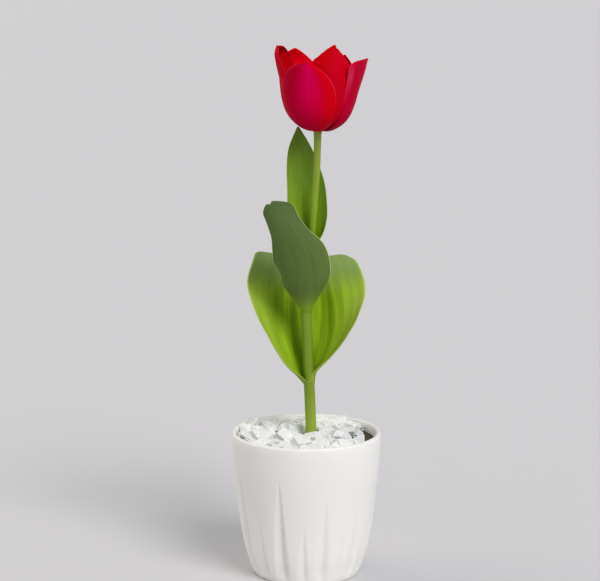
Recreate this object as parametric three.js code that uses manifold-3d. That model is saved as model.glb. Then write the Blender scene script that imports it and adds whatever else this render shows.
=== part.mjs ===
// A potted tulip: one red bloom on a stem with three leaves, in a white glazed pot
// whose soil is dressed with white marble chips.
// Millimetres, +Z up. The origin is the centre of the pot's flat underside.
// The front is -Y, and an azimuth is counted from the front towards +X.

import * as THREE from 'three';
import { ConvexGeometry } from 'three/addons/geometries/ConvexGeometry.js';
import { mergeVertices } from 'three/addons/utils/BufferGeometryUtils.js';
import Module from 'manifold-3d';

const wasm = await Module();
wasm.setup();

// ---------- driving dimensions ----------

const gap = 0.3; // between pieces that touch

// Pot: a 4 inch planter. Its wall is a curve through [radius, height] points.
const potHeight = 101;
const rimRadius = 52;
const footRadius = 37.5;
const footEdge = 0.9; // small round where the wall meets the underside
const potFloor = 5;
const lipThickness = 2.8;
const lipTurns = [50, 90, 130]; // corners of its round top, in degrees
const potSides = 100;
const wallRows = 12;
const wallOutside = [
  [footRadius, footEdge], [39.3, 5.2], [43.6, 20], [46.7, 38], [49.3, 59.6], [51.3, 77], [rimRadius, 90],
  [rimRadius, potHeight - lipThickness / 2],
];
const wallInside = [
  [rimRadius - lipThickness, potHeight - lipThickness / 2], [48.7, 92], [45.2, 60], [41.2, 30], [33.5, potFloor],
];

// Gouges carved up the pot from its foot: each is a V that widens and deepens downwards, and
// every other one is tall. Their tops and the spaces between them vary evenly round the pot.
const gougeCount = 20;
const gougeFirst = -42.5; // azimuth of the first, in degrees
const gougeSway = 4.5; // how far one stands from its even place, in degrees
const gougeHalfWidth = 9.5; // at the foot, in degrees
const gougeDepth = 1.7; // near the foot
const gougeFade = 9; // below this height they grow shallow again
const gougeTall = { top: 67, sway: 10 };
const gougeShort = { top: 42, sway: 5 };
const gougeWidening = 0.7; // powers of the way down: how fast a gouge widens
const gougeDeepening = 0.8; // and how fast it deepens

// Soil and marble chips
const soilTop = 94.2;
const soilSides = 48;
const chipBed = { thickness: 1.3, radius: 47.6 }; // the layer that the chips stand out of
const chipLimit = 48.2; // no chip reaches further from the pot's axis
const chipRings = [9.5, 18.5, 27.5, 36, 43];
const chipSpacing = 10.2;
const chipSeed = 4111;
const looseCount = 18; // chips lying on the first layer
const bareSoil = { from: 72, to: 118, inside: 40.5, middle: 3, length: 34 }; // a bare patch at the right:
// no chip stands between its two azimuths past its inside x, nor the bed over its length along y
// Each value of a chip is drawn between two: its half length, its place and its cuts.
const ringHalf = [4.5, 7.5];
const ringTurn = [-0.3, 0.3]; // share of the space between two chips
const ringStagger = 7; // degrees that a ring starts further round, for each millimetre of its radius
const ringShift = [-1.2, 1.2];
const ringLift = [2.2, 3.6]; // height of its middle above the soil
const looseHalf = [4.8, 7.2];
const looseRadius = [12, 39];
const looseTurn = [180, 200]; // from the back, where they start
const looseSweep = 300; // degrees that they spread over, which leaves the front right clear
const looseLift = [4.4, 5.2];
const chipCuts = 9;
const cutLean = [-0.25, 0.25];
const cutReach = [0.7, 1];
const chipCorner = 1.2; // no corner reaches further, in the same unit
const chipWidth = [0.6, 0.85]; // share of its length
const chipHeight = [0.5, 0.7];
const chipTilt = [-0.35, 0.35]; // radians
const stemRoom = 0.75; // share of a chip's half length that its middle keeps from the stem's hole
const holeSides = 24;
const holeRoom = 120; // a height clear above the chips

// Stem: [x, y, z] along its middle, and [z, radius]
const stemX = 3.3; // where it stands in the soil
const stemLine = [
  [stemX, 0, 40], [stemX, 0, 75], [stemX, 0, 101], [2, 0, 134.5], [0.6, 0, 165.8], [-0.1, 0, 187], [1.4, 0, 215],
  [4.2, 0, 244.5], [5.7, 0, 266], [7.1, 0, 289], [7.7, 0, 310.5],
];
const stemThickness = [[40, 3.7], [101, 3.8], [187, 3.65], [215, 3.1], [240, 2.5], [300, 2.45], [312, 2.7]];
const holeRadius = 4.4; // of the hole in soil and chips that it stands in
const stemSides = 12;
const stemRows = 26;

// Leaves. Each row of a leaf is an arc across its middle line: line is [x, y, z] from base to tip,
// left and right are the half widths along the arc, and curl is the half angle of the arc in degrees.
// Every list is spread evenly over the leaf. The hollow side faces the azimuth named face.
const leafThickness = 1.0;
const tipLength = 9; // power of the way up: a larger one keeps the leaf broad for longer
const tipRound = 0.6; // and a smaller one makes its end blunter
const tipLeft = 0.03; // share of the width left at the very end
const lowerLeaf = {
  face: 0, rows: 20, columns: 12, roundTip: true,
  line: [[2, 4.8, 134.5], [1.7, 5.6, 141], [1.2, 8, 151], [0.6, 13, 164], [0.1, 20, 179], [0, 30, 195],
    [0, 43, 208], [0, 59, 214], [0, 76, 211], [0, 91, 200], [0, 100, 186]],
  left: [13.8, 20.5, 31, 39, 44, 45.5, 39.5, 34, 29, 22, 12],
  right: [13.8, 20, 31, 40.5, 46, 46.5, 39.5, 33, 28, 21, 12],
  curl: [165, 132, 106, 86, 68, 50, 26, 14, 10, 10, 10],
};
const middleLeaf = {
  face: 180, rows: 16, columns: 10, roundTip: true,
  line: [[0, -4.9, 185.5], [-0.6, -7, 193], [-1.2, -11, 203], [-2, -14, 215], [-4.5, -15.5, 228],
    [-10, -15.5, 240], [-16.5, -14, 250], [-21.5, -11, 258], [-24.2, -8, 264]],
  left: [12.4, 14.5, 18.5, 21, 19.5, 15, 14, 14.5, 11],
  right: [12.4, 14, 18, 19, 19, 17, 14.8, 13.5, 10],
  curl: [150, 92, 62, 48, 42, 40, 40, 42, 44],
};
const upperLeaf = {
  face: 0, rows: 14, columns: 10, roundTip: false,
  line: [[2.7, 3.7, 229], [2.6, 5, 237], [1.8, 8, 248], [1, 10.5, 260], [0.1, 12, 273], [-1.4, 12, 287],
    [-3.6, 10.5, 300], [-6.2, 8, 313.5]],
  left: [9.7, 11, 13.7, 15, 14.8, 12.8, 8.3, 0.7],
  right: [9.7, 11, 14.2, 15.2, 14.2, 11.5, 7.2, 0.7],
  curl: [150, 98, 72, 58, 50, 42, 35, 20],
};

// Bloom: it stands on the stem's top and leans to the right. Heights and radii in its own frame.
const bloomBase = [7.7, 0, 311.5];
const bloomLean = 3.4;
const tepalThickness = 0.8;
const tepalRows = 14;
const tepalColumns = 8;
const tepalCrowding = 1.3; // rows lie closer together towards the tip
const cupOutside = [[2.6, 0.5], [8.5, 0.7], [14.2, 2.9], [19.2, 7.2], [22.9, 13.4], [25.4, 21], [27.2, 29.5]];
const cupInside = [[2.6, 2.3], [7.9, 2.5], [13, 4.6], [17.6, 8.5], [21.1, 14.4], [23.5, 21.6], [25.3, 30]];

// A tepal is the patch of a cup between two azimuths that close on each other at its tip.
// rise is its [radius, height] line above the cup. less and more shape its two edges, towards the
// smaller and the larger azimuth: angle is the half angle it spans, full how far up it stays broad,
// round how blunt it ends, and tuck how far the edge bends in. drift turns the tip, in degrees.
const tepals = [
  { name: 'tepal_outer_front', cup: cupOutside, azimuth: -25, drift: 0,
    rise: [[28.6, 38], [29.4, 43.5], [29.2, 47.7]],
    less: { angle: 53, full: 5, round: 0.65, tuck: 0 },
    more: { angle: 57, full: 5, round: 1, tuck: 0 } },
  { name: 'tepal_outer_right', cup: cupOutside, azimuth: 99, drift: -12,
    rise: [[28.8, 38], [30.4, 45], [31.2, 51.2]],
    less: { angle: 54, full: 12, round: 0.4, tuck: -0.5 },
    more: { angle: 54, full: 4, round: 0.8, tuck: -0.5 } },
  { name: 'tepal_outer_back', cup: cupOutside, azimuth: -141, drift: 0,
    rise: [[29.2, 38], [31.2, 46], [29.8, 53.8]],
    less: { angle: 54, full: 4, round: 0.76, tuck: -0.6 },
    more: { angle: 54, full: 4, round: 0.8, tuck: -0.6 } },
  { name: 'tepal_inner_front', cup: cupInside, azimuth: 19, drift: 8,
    rise: [[26, 38.5], [23.8, 47.5], [17.5, 59.8]],
    less: { angle: 54, full: 5, round: 0.72, tuck: 0.6 },
    more: { angle: 53, full: 4.5, round: 0.85, tuck: 1.5 } },
  { name: 'tepal_inner_left', cup: cupInside, azimuth: -95, drift: 8,
    rise: [[27.3, 39], [30.8, 47.5], [32, 52], [31.2, 56.2]],
    less: { angle: 51, full: 10, round: 0.45, tuck: 4 },
    more: { angle: 52, full: 3.5, round: 1, tuck: 1.5 } },
  { name: 'tepal_inner_back', cup: cupInside, azimuth: 151, drift: 0,
    rise: [[25.8, 38.5], [25, 47.5], [22.5, 56]],
    less: { angle: 52, full: 4, round: 0.85, tuck: 0.8 },
    more: { angle: 51, full: 4, round: 0.85, tuck: 0.8 } },
];
const tipAngle = 1; // half angle left at a tepal's very tip, in degrees
const edgeWave = { height: 0.3, turns: 1.5, offset: 2 }; // waves in a tepal's edges, unlike each other

// Inside the bloom: the receptacle on the stem, the pistil on it and a ring of stamens round it
const receptacleTop = 3.4;
const receptacleLine = [
  [0, -4], [2.5, -4], [2.8, -1], [3.1, 0.1 - gap], [2.2, 0.1 - gap], [2.2, receptacleTop], [0, receptacleTop],
];
const pistilLine = [
  [0, receptacleTop + gap], [2.3, receptacleTop + gap], [2.6, 8], [2.4, 14], [2, 18.6], [3.4, 20.4], [3.6, 22],
  [2.3, 23.2], [0, 23.6],
];
const pistilSides = 18;
const stigmaBottom = 18.5;
const stigmaLobe = 0.22; // how far its three lobes stand out, as a share of its radius
const stamenCount = 6;
const stamenFirst = 30; // azimuth
const stamenSides = 6;
const ringSides = 24;
const stamenRing = [[3.0, 3.1], [5.0, 3.1], [5.0, 4.2], [3.0, 4.2]];
const stamenLine = [[4.1, 3.4, 0.8], [5.2, 7, 0.75], [6.6, 10.6, 0.7], [7.1, 12, 1.2], [7.7, 15, 1.35],
  [8.1, 18, 1.25], [8.3, 20.6, 0.6]]; // [radius, height, thickness] from the ring up

// Colours
const glaze = new THREE.MeshStandardMaterial({ color: 0xf1efe9, roughness: 0.22, metalness: 0 });
const earth = new THREE.MeshStandardMaterial({ color: 0x33261c, roughness: 0.95, metalness: 0 });
const marble = new THREE.MeshStandardMaterial({ color: 0xeeeeec, roughness: 0.7, metalness: 0 });
const stalk = new THREE.MeshStandardMaterial({ color: 0x7d9a35, roughness: 0.5, metalness: 0 });
const leafLight = new THREE.MeshStandardMaterial({ color: 0x7d9a2c, roughness: 0.5, metalness: 0 });
const leafDull = new THREE.MeshStandardMaterial({ color: 0x56703f, roughness: 0.6, metalness: 0 });
const leafFresh = new THREE.MeshStandardMaterial({ color: 0x5f8430, roughness: 0.5, metalness: 0 });
const petalPink = new THREE.MeshStandardMaterial({ color: 0xc0063c, roughness: 0.45, metalness: 0 });
const petalRed = new THREE.MeshStandardMaterial({ color: 0xd00812, roughness: 0.45, metalness: 0 });
const pistilGreen = new THREE.MeshStandardMaterial({ color: 0xb9bd62, roughness: 0.5, metalness: 0 });
const pollen = new THREE.MeshStandardMaterial({ color: 0x241a2c, roughness: 0.8, metalness: 0 });

// ---------- curves ----------

const radians = THREE.MathUtils.degToRad;

// A smooth curve through points of one, two or three numbers. It gives the point at a share of its way.
function smooth(points) {
  const filled = points.map((p) => new THREE.Vector3(...[p, 0, 0].flat().slice(0, 3)));
  const curve = new THREE.CatmullRomCurve3(filled, false, 'catmullrom', 0.5);
  return (share) => curve.getPoint(share);
}

// The value at x on the straight lines between [x, value] pairs.
function along(pairs, x) {
  const next = Math.max(1, pairs.findIndex(([key], i) => key >= x || i === pairs.length - 1));
  const [x0, y0] = pairs[next - 1];
  const [x1, y1] = pairs[next];
  return THREE.MathUtils.mapLinear(THREE.MathUtils.clamp(x, x0, x1), x0, x1, y0, y1);
}

// A point at a radius and a height, in the direction of an azimuth in degrees.
function around(radius, azimuth, height) {
  const turn = radians(azimuth);
  return new THREE.Vector3(radius * Math.sin(turn), -radius * Math.cos(turn), height);
}

// ---------- solids ----------

// Joins equal points, drops flat triangles and turns the faces outwards.
function closed(geometry) {
  geometry.deleteAttribute('normal');
  geometry.deleteAttribute('uv');
  const merged = mergeVertices(geometry, 1e-4);
  const position = merged.attributes.position;
  const [a, b, c] = [new THREE.Vector3(), new THREE.Vector3(), new THREE.Vector3()];
  const kept = [];
  let volume = 0;
  for (let i = 0; i < merged.index.count; i += 3) {
    const face = [0, 1, 2].map((n) => merged.index.getX(i + n));
    if (new Set(face).size === 3) {
      a.fromBufferAttribute(position, face[0]);
      b.fromBufferAttribute(position, face[1]);
      c.fromBufferAttribute(position, face[2]);
      volume += a.dot(b.cross(c));
      kept.push(face);
    }
  }
  merged.setIndex((volume < 0 ? kept.map((face) => face.reverse()) : kept).flat());
  return merged;
}

function fromGrid(rows, faces) {
  const geometry = new THREE.BufferGeometry();
  geometry.setAttribute('position', new THREE.Float32BufferAttribute(rows.flatMap((p) => p.toArray()), 3));
  geometry.setIndex(faces);
  return closed(geometry);
}

// A blade from a grid of points: two sheets half a thickness either side of it, cut into triangles
// alike, and joined by a strip along the edge.
function blade(grid, thickness) {
  const rows = grid.length;
  const columns = grid[0].length;
  const near = (i, n) => Math.min(Math.max(i, 0), n - 1);
  const points = [];
  for (const side of [0.5, -0.5]) {
    for (let i = 0; i < rows; i += 1) {
      for (let j = 0; j < columns; j += 1) {
        const up = grid[near(i + 1, rows)][j].clone().sub(grid[near(i - 1, rows)][j]);
        const across = grid[i][near(j + 1, columns)].clone().sub(grid[i][near(j - 1, columns)]);
        points.push(across.cross(up).normalize().multiplyScalar(side * thickness).add(grid[i][j]));
      }
    }
  }
  const at = (i, j, back) => back * rows * columns + i * columns + j;
  const faces = [];
  for (let i = 0; i + 1 < rows; i += 1) {
    for (let j = 0; j + 1 < columns; j += 1) {
      faces.push(at(i, j, 0), at(i, j + 1, 0), at(i + 1, j + 1, 0));
      faces.push(at(i, j, 0), at(i + 1, j + 1, 0), at(i + 1, j, 0));
      faces.push(at(i, j, 1), at(i + 1, j + 1, 1), at(i, j + 1, 1));
      faces.push(at(i, j, 1), at(i + 1, j, 1), at(i + 1, j + 1, 1));
    }
  }
  const edge = [];
  for (let j = 0; j + 1 < columns; j += 1) edge.push([0, j]);
  for (let i = 0; i + 1 < rows; i += 1) edge.push([i, columns - 1]);
  for (let j = columns - 1; j > 0; j -= 1) edge.push([rows - 1, j]);
  for (let i = rows - 1; i > 0; i -= 1) edge.push([i, 0]);
  edge.forEach(([i, j], n) => {
    const [k, l] = edge[(n + 1) % edge.length];
    faces.push(at(i, j, 0), at(i, j, 1), at(k, l, 1), at(i, j, 0), at(k, l, 1), at(k, l, 0));
  });
  return fromGrid(points, faces);
}

// A tapered rod round a line of points, closed at both ends.
function rod(centres, radii, sides) {
  const points = [];
  centres.forEach((centre, i) => {
    const ahead = centres[Math.min(i + 1, centres.length - 1)];
    const behind = centres[Math.max(i - 1, 0)];
    const way = ahead.clone().sub(behind).normalize();
    const right = new THREE.Vector3(0, 1, 0).cross(way).normalize();
    const front = way.clone().cross(right);
    for (let k = 0; k < sides; k += 1) {
      const turn = (2 * Math.PI * k) / sides;
      const spoke = right.clone().multiplyScalar(Math.cos(turn)).addScaledVector(front, Math.sin(turn));
      points.push(centre.clone().addScaledVector(spoke, radii[i]));
    }
  });
  const faces = [];
  for (let i = 0; i + 1 < centres.length; i += 1) {
    for (let k = 0; k < sides; k += 1) {
      const a = i * sides + k;
      const b = i * sides + ((k + 1) % sides);
      faces.push(a, b, b + sides, a, b + sides, a + sides);
    }
  }
  const last = (centres.length - 1) * sides;
  for (let k = 1; k + 1 < sides; k += 1) faces.push(0, k + 1, k, last, last + k, last + k + 1);
  return fromGrid(points, faces);
}

// A turned solid. Its profile is [radius, height] points that start and end on the axis, or close.
function turned(profile, sides) {
  const outline = profile.map(([radius, height]) => new THREE.Vector2(radius, height));
  return closed(new THREE.LatheGeometry(outline, sides).rotateX(Math.PI / 2));
}

function solid(geometry) {
  const vertProperties = new Float32Array(geometry.attributes.position.array);
  const triVerts = new Uint32Array(geometry.index.array);
  return new wasm.Manifold(new wasm.Mesh({ numProp: 3, vertProperties, triVerts }));
}

function fromSolid(body) {
  const mesh = body.getMesh();
  const geometry = new THREE.BufferGeometry();
  geometry.setAttribute('position', new THREE.Float32BufferAttribute(mesh.vertProperties, 3));
  geometry.setIndex([...mesh.triVerts]);
  return geometry;
}

// The largest closed skin of a solid: hollows sealed inside it are filled, and loose scraps dropped.
function outerSkin(body) {
  return body.decompose().reduce((most, piece) => (piece.volume() > most.volume() ? piece : most));
}

function named(name, geometry, material) {
  const mesh = new THREE.Mesh(geometry, material.clone());
  mesh.name = name;
  return mesh;
}

// ---------- pot ----------

// How deep the gouges cut at an azimuth and a height: the deepest of the gouges that reach there.
function gougeAt(azimuth, height) {
  let deepest = 0;
  for (let k = 0; k < gougeCount; k += 1) {
    const sway = radians((720 / gougeCount) * k);
    const middle = gougeFirst + (360 / gougeCount) * k + gougeSway * Math.sin(sway);
    const kind = k % 2 ? gougeTall : gougeShort;
    const down = Math.max(1 - height / (kind.top + kind.sway * Math.cos(sway)), 0);
    const away = Math.abs(THREE.MathUtils.euclideanModulo(azimuth - middle + 180, 360) - 180);
    const halfWidth = gougeHalfWidth * down ** gougeWidening;
    const depth = gougeDepth * down ** gougeDeepening;
    if (away < halfWidth) deepest = Math.max(deepest, depth * (1 - away / halfWidth));
  }
  return deepest * Math.min(height / gougeFade, 1);
}

function makePot() {
  const wall = smooth(wallOutside);
  const profile = [[0, 0], [footRadius - footEdge, 0]];
  for (let i = 0; i <= wallRows; i += 1) {
    const point = wall(i / wallRows);
    profile.push([point.x, point.y]);
  }
  const lip = lipThickness / 2;
  for (const turn of lipTurns.map(radians)) {
    profile.push([rimRadius + lip * (Math.cos(turn) - 1), potHeight + lip * (Math.sin(turn) - 1)]);
  }
  profile.push(...wallInside, [0, potFloor]);
  const geometry = turned(profile, potSides);
  const position = geometry.attributes.position;
  for (let i = 0; i < position.count; i += 1) {
    const [x, y, z] = [position.getX(i), position.getY(i), position.getZ(i)];
    const radius = Math.hypot(x, y);
    if (radius > innerRadius(z) + lipThickness / 2) {
      const share = 1 - gougeAt(THREE.MathUtils.radToDeg(Math.atan2(x, -y)), z) / radius;
      position.setXY(i, x * share, y * share);
    }
  }
  return geometry;
}

function innerRadius(height) {
  return along(wallInside.map(([radius, level]) => [level, radius]).reverse(), height);
}

// ---------- soil and chips ----------

function makeSoil() {
  const bottom = potFloor + gap;
  const bends = wallInside.map(([, level]) => level).filter((level) => level > bottom && level < soilTop);
  const side = [bottom, ...bends.reverse(), soilTop].map((level) => [innerRadius(level) - gap, level]);
  const plug = turned([[0, bottom], ...side, [0, soilTop]], soilSides);
  return fromSolid(solid(plug).subtract(solid(stemHole())));
}

// A disc or a column round the axis, between two heights.
function column(radius, bottom, top, sides) {
  return turned([[0, bottom], [radius, bottom], [radius, top], [0, top]], sides);
}

function stemHole() {
  return column(holeRadius, stemLine[0][2] - gap, holeRoom, holeSides).translate(stemX, 0, 0);
}

// The same row of draws every time: each is between 0 and 1.
function draws(seed) {
  let state = seed;
  return () => {
    state = (state * 16807) % 2147483647;
    return state / 2147483647;
  };
}

function between(random, [low, high]) {
  return low + (high - low) * random();
}

// Points spread evenly over a ball.
function spread(count) {
  const golden = Math.PI * (3 - Math.sqrt(5));
  return Array.from({ length: count }, (_, i) => {
    const z = 1 - (2 * i + 1) / count;
    const ring = Math.sqrt(1 - z * z);
    return new THREE.Vector3(ring * Math.cos(golden * i), ring * Math.sin(golden * i), z);
  });
}

// A broken stone: a ball cut by flat faces at uneven distances, then stretched, tilted and turned.
// It gives its surface in a direction.
function chip(random, half) {
  const cuts = spread(chipCuts).map((normal) => {
    normal.x += between(random, cutLean);
    normal.y += between(random, cutLean);
    return { normal: normal.normalize(), distance: between(random, cutReach) };
  });
  const size = new THREE.Vector3(1, between(random, chipWidth), between(random, chipHeight)).multiplyScalar(half);
  const tilt = [between(random, chipTilt), between(random, chipTilt)];
  const turn = new THREE.Euler(...tilt, 2 * Math.PI * random(), 'ZYX');
  return (direction) => {
    // A cut counts only where the direction looks towards it.
    const reach = cuts.map(({ normal, distance }) => distance / Math.max(direction.dot(normal), 0.2));
    return direction.clone().multiplyScalar(Math.min(chipCorner, ...reach)).multiply(size).applyEuler(turn);
  };
}

// Where the chips lie, and half their lengths: in rings on the soil and then a few on top of those.
function chipPlaces(random) {
  const places = [];
  for (const ring of chipRings) {
    const count = Math.round((2 * Math.PI * ring) / chipSpacing);
    for (let k = 0; k < count; k += 1) {
      const azimuth = (360 / count) * (k + between(random, ringTurn)) + ringStagger * ring;
      const half = between(random, ringHalf);
      const radius = Math.min(ring + between(random, ringShift), chipLimit - half);
      const place = around(radius, azimuth, soilTop + between(random, ringLift));
      const bearing = THREE.MathUtils.euclideanModulo(azimuth, 360);
      const bare = place.x > bareSoil.inside - half && bearing > bareSoil.from && bearing < bareSoil.to;
      if (!bare) places.push({ place, half });
    }
  }
  for (let k = 0; k < looseCount; k += 1) {
    const half = between(random, looseHalf);
    const radius = between(random, looseRadius);
    const azimuth = looseSweep * (k / looseCount) + between(random, looseTurn);
    places.push({ place: around(radius, azimuth, soilTop + between(random, looseLift)), half });
  }
  const clear = ({ place, half }) => Math.hypot(place.x - stemX, place.y) > holeRadius + stemRoom * half;
  return places.filter(clear);
}

function makeChips() {
  const random = draws(chipSeed);
  const bottom = soilTop + gap;
  const corners = spread(chipCuts);
  const bed = column(chipBed.radius, bottom, bottom + chipBed.thickness, soilSides);
  const bare = new THREE.BoxGeometry(chipLimit, bareSoil.length, potHeight);
  bare.translate(bareSoil.inside + chipLimit / 2, bareSoil.middle, soilTop);
  let heap = solid(bed).subtract(solid(closed(bare)));
  for (const { place, half } of chipPlaces(random)) {
    const shape = chip(random, half);
    heap = heap.add(solid(closed(new ConvexGeometry(corners.map((way) => shape(way).add(place))))));
  }
  const room = column(chipLimit, bottom, holeRoom, soilSides);
  return fromSolid(outerSkin(heap.intersect(solid(room)).subtract(solid(stemHole()))));
}

// ---------- stem and leaves ----------

function makeStem(bloom) {
  const line = smooth(stemLine);
  const centres = Array.from({ length: stemRows + 1 }, (_, i) => line(i / stemRows));
  const radii = centres.map((centre) => along(stemThickness, centre.z));
  const receptacle = turned(receptacleLine, stemSides).applyMatrix4(bloom.matrix);
  return fromSolid(solid(rod(centres, radii, stemSides)).add(solid(receptacle)));
}

function makeLeaf({ face, rows, columns, roundTip, line, left, right, curl }) {
  const [middle, leftHalf, rightHalf, angle] = [line, left, right, curl].map(smooth);
  const side = new THREE.Vector3(Math.cos(radians(face)), Math.sin(radians(face)), 0);
  const centres = Array.from({ length: rows + 1 }, (_, i) => middle(i / rows));
  const grid = centres.map((centre, i) => {
    const share = i / rows;
    const way = centres[Math.min(i + 1, rows)].clone().sub(centres[Math.max(i - 1, 0)]).normalize();
    const across = side.clone().addScaledVector(way, -side.dot(way)).normalize();
    const inward = across.clone().cross(way);
    const narrowing = roundTip ? Math.max((1 - share ** tipLength) ** tipRound, tipLeft) : 1;
    const halfAngle = radians(angle(share).x);
    return Array.from({ length: columns + 1 }, (__, j) => {
      const v = (2 * j) / columns - 1;
      const bend = (v < 0 ? leftHalf : rightHalf)(share).x * narrowing / halfAngle;
      return centre.clone()
        .addScaledVector(across, bend * Math.sin(halfAngle * v))
        .addScaledVector(inward, bend * (1 - Math.cos(halfAngle * v)));
    });
  });
  return blade(grid, leafThickness);
}

// ---------- bloom ----------

function makeTepal({ cup, azimuth, drift, rise, less, more }) {
  const line = smooth([...cup, ...rise]);
  const shares = Array.from({ length: tepalRows + 1 }, (_, i) => 1 - (1 - i / tepalRows) ** tepalCrowding);
  const points = shares.map(line);
  const lengths = [0];
  for (let i = 1; i < points.length; i += 1) lengths.push(lengths[i - 1] + points[i].distanceTo(points[i - 1]));
  const grid = points.map((point, i) => {
    const share = lengths[i] / lengths[tepalRows];
    return Array.from({ length: tepalColumns + 1 }, (_, j) => {
      const v = (2 * j) / tepalColumns - 1;
      const edge = v < 0 ? less : more;
      const halfAngle = edge.angle * (1 - share ** edge.full) ** edge.round + tipAngle;
      const phase = 2 * Math.PI * edgeWave.turns * share + (v < 0 ? 0 : edgeWave.offset);
      const wave = edgeWave.height * Math.sin(phase) * Math.abs(v) ** 3 * share ** 2;
      const radius = point.x - edge.tuck * v ** 2 * share ** 3 + wave;
      return around(radius, azimuth + drift * share ** 3 + v * halfAngle, point.y);
    });
  });
  return blade(grid, tepalThickness);
}

function makePistil() {
  const geometry = turned(pistilLine, pistilSides);
  const position = geometry.attributes.position;
  for (let i = 0; i < position.count; i += 1) {
    const [x, y] = [position.getX(i), position.getY(i)];
    const lobe = position.getZ(i) > stigmaBottom ? 1 + stigmaLobe * Math.cos(3 * Math.atan2(x, -y)) : 1;
    position.setXY(i, x * lobe, y * lobe);
  }
  return geometry;
}

function makeStamens() {
  const thickness = stamenLine.map((point) => point[2]);
  let body = solid(turned([...stamenRing, stamenRing[0]], ringSides));
  for (let k = 0; k < stamenCount; k += 1) {
    const azimuth = stamenFirst + (360 / stamenCount) * k;
    const centres = stamenLine.map(([radius, height]) => around(radius, azimuth, height));
    body = body.add(solid(rod(centres, thickness, stamenSides)));
  }
  return fromSolid(body);
}

// ---------- the whole ----------

const bloom = new THREE.Group();
bloom.position.set(...bloomBase);
bloom.rotation.y = radians(bloomLean);
bloom.updateMatrix();
for (const tepal of tepals) {
  bloom.add(named(tepal.name, makeTepal(tepal), tepal.cup === cupOutside ? petalPink : petalRed));
}
bloom.add(named('pistil', makePistil(), pistilGreen));
bloom.add(named('stamens', makeStamens(), pollen));

const plant = new THREE.Group();
plant.add(named('stem', makeStem(bloom), stalk));
plant.add(named('lower_leaf', makeLeaf(lowerLeaf), leafLight));
plant.add(named('middle_leaf', makeLeaf(middleLeaf), leafDull));
plant.add(named('upper_leaf', makeLeaf(upperLeaf), leafFresh));
plant.add(bloom);

const pottedTulip = new THREE.Group();
pottedTulip.add(named('pot', makePot(), glaze));
pottedTulip.add(named('soil', makeSoil(), earth));
pottedTulip.add(named('marble_chips', makeChips(), marble));
pottedTulip.add(plant);

export default pottedTulip;
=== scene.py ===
# A potted tulip: a finer surface over each solid, its finish, a pale floor, soft light and the camera.
# Lengths are in millimetres until a mesh is made. An azimuth is in degrees, from the front (-Y) towards +X.

import itertools
import math

import bpy
import numpy as np
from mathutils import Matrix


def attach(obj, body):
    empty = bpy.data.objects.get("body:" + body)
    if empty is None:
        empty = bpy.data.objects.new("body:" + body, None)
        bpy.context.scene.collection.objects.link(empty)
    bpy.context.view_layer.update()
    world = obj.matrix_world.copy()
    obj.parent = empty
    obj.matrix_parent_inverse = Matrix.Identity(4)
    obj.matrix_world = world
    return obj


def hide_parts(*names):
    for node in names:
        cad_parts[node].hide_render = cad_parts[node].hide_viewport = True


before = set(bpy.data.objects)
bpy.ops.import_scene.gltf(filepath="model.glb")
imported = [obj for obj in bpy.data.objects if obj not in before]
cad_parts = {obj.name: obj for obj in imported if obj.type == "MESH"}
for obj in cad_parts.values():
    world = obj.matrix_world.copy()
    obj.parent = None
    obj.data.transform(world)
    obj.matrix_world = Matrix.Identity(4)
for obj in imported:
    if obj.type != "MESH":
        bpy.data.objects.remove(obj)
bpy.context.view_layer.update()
mm = 0.001
tiny = 1e-6
print("frame loaded with", len(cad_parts), "nodes")


# Curves and surfaces

# Vectors over their own lengths
def unit(vectors):
    return vectors / np.maximum(np.linalg.norm(vectors, axis=-1, keepdims=True), tiny**2)


# The curve through evenly spaced knots: on each stretch a cubic that leaves a knot in the direction from the
# knot before it to the one after it. Both ends are continued straight.
def curveThrough(knots, share):
    knots = np.asarray(knots, float).reshape(len(knots), -1)
    stretches = len(knots) - 1
    knots = np.vstack([2 * knots[0] - knots[1], knots, 2 * knots[-1] - knots[-2]])
    along = np.asarray(share, float) * stretches
    first = np.clip(along.astype(int), 0, stretches - 1)
    w = (along - first)[:, None]
    p0, p1, p2, p3 = (knots[first + k] for k in range(4))
    v1, v2 = (p2 - p0) / 2, (p3 - p1) / 2
    return (2 * p1 - 2 * p2 + v1 + v2) * w**3 + (3 * p2 - 3 * p1 - 2 * v1 - v2) * w**2 + v1 * w + p1


# (radius sin azimuth, -radius cos azimuth, height)
def aroundAxis(radius, azimuth, height):
    turn = np.radians(azimuth)
    return np.stack(np.broadcast_arrays(radius * np.sin(turn), -radius * np.cos(turn), height), -1)


# A rod: round each centre, radius times (right cos turn + front sin turn), square to the way that the centres
# run.
def rodAlong(centres, radii, sides):
    way = unit(np.gradient(centres, axis=0))
    right = unit(np.cross([0.0, 1.0, 0.0], way))
    front = np.cross(way, right)
    turn = 2 * np.pi * np.arange(sides) / sides
    spokes = right[:, None] * np.cos(turn)[:, None] + front[:, None] * np.sin(turn)[:, None]
    return centres[:, None] + spokes * np.reshape(radii, (len(centres), -1, 1))


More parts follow.
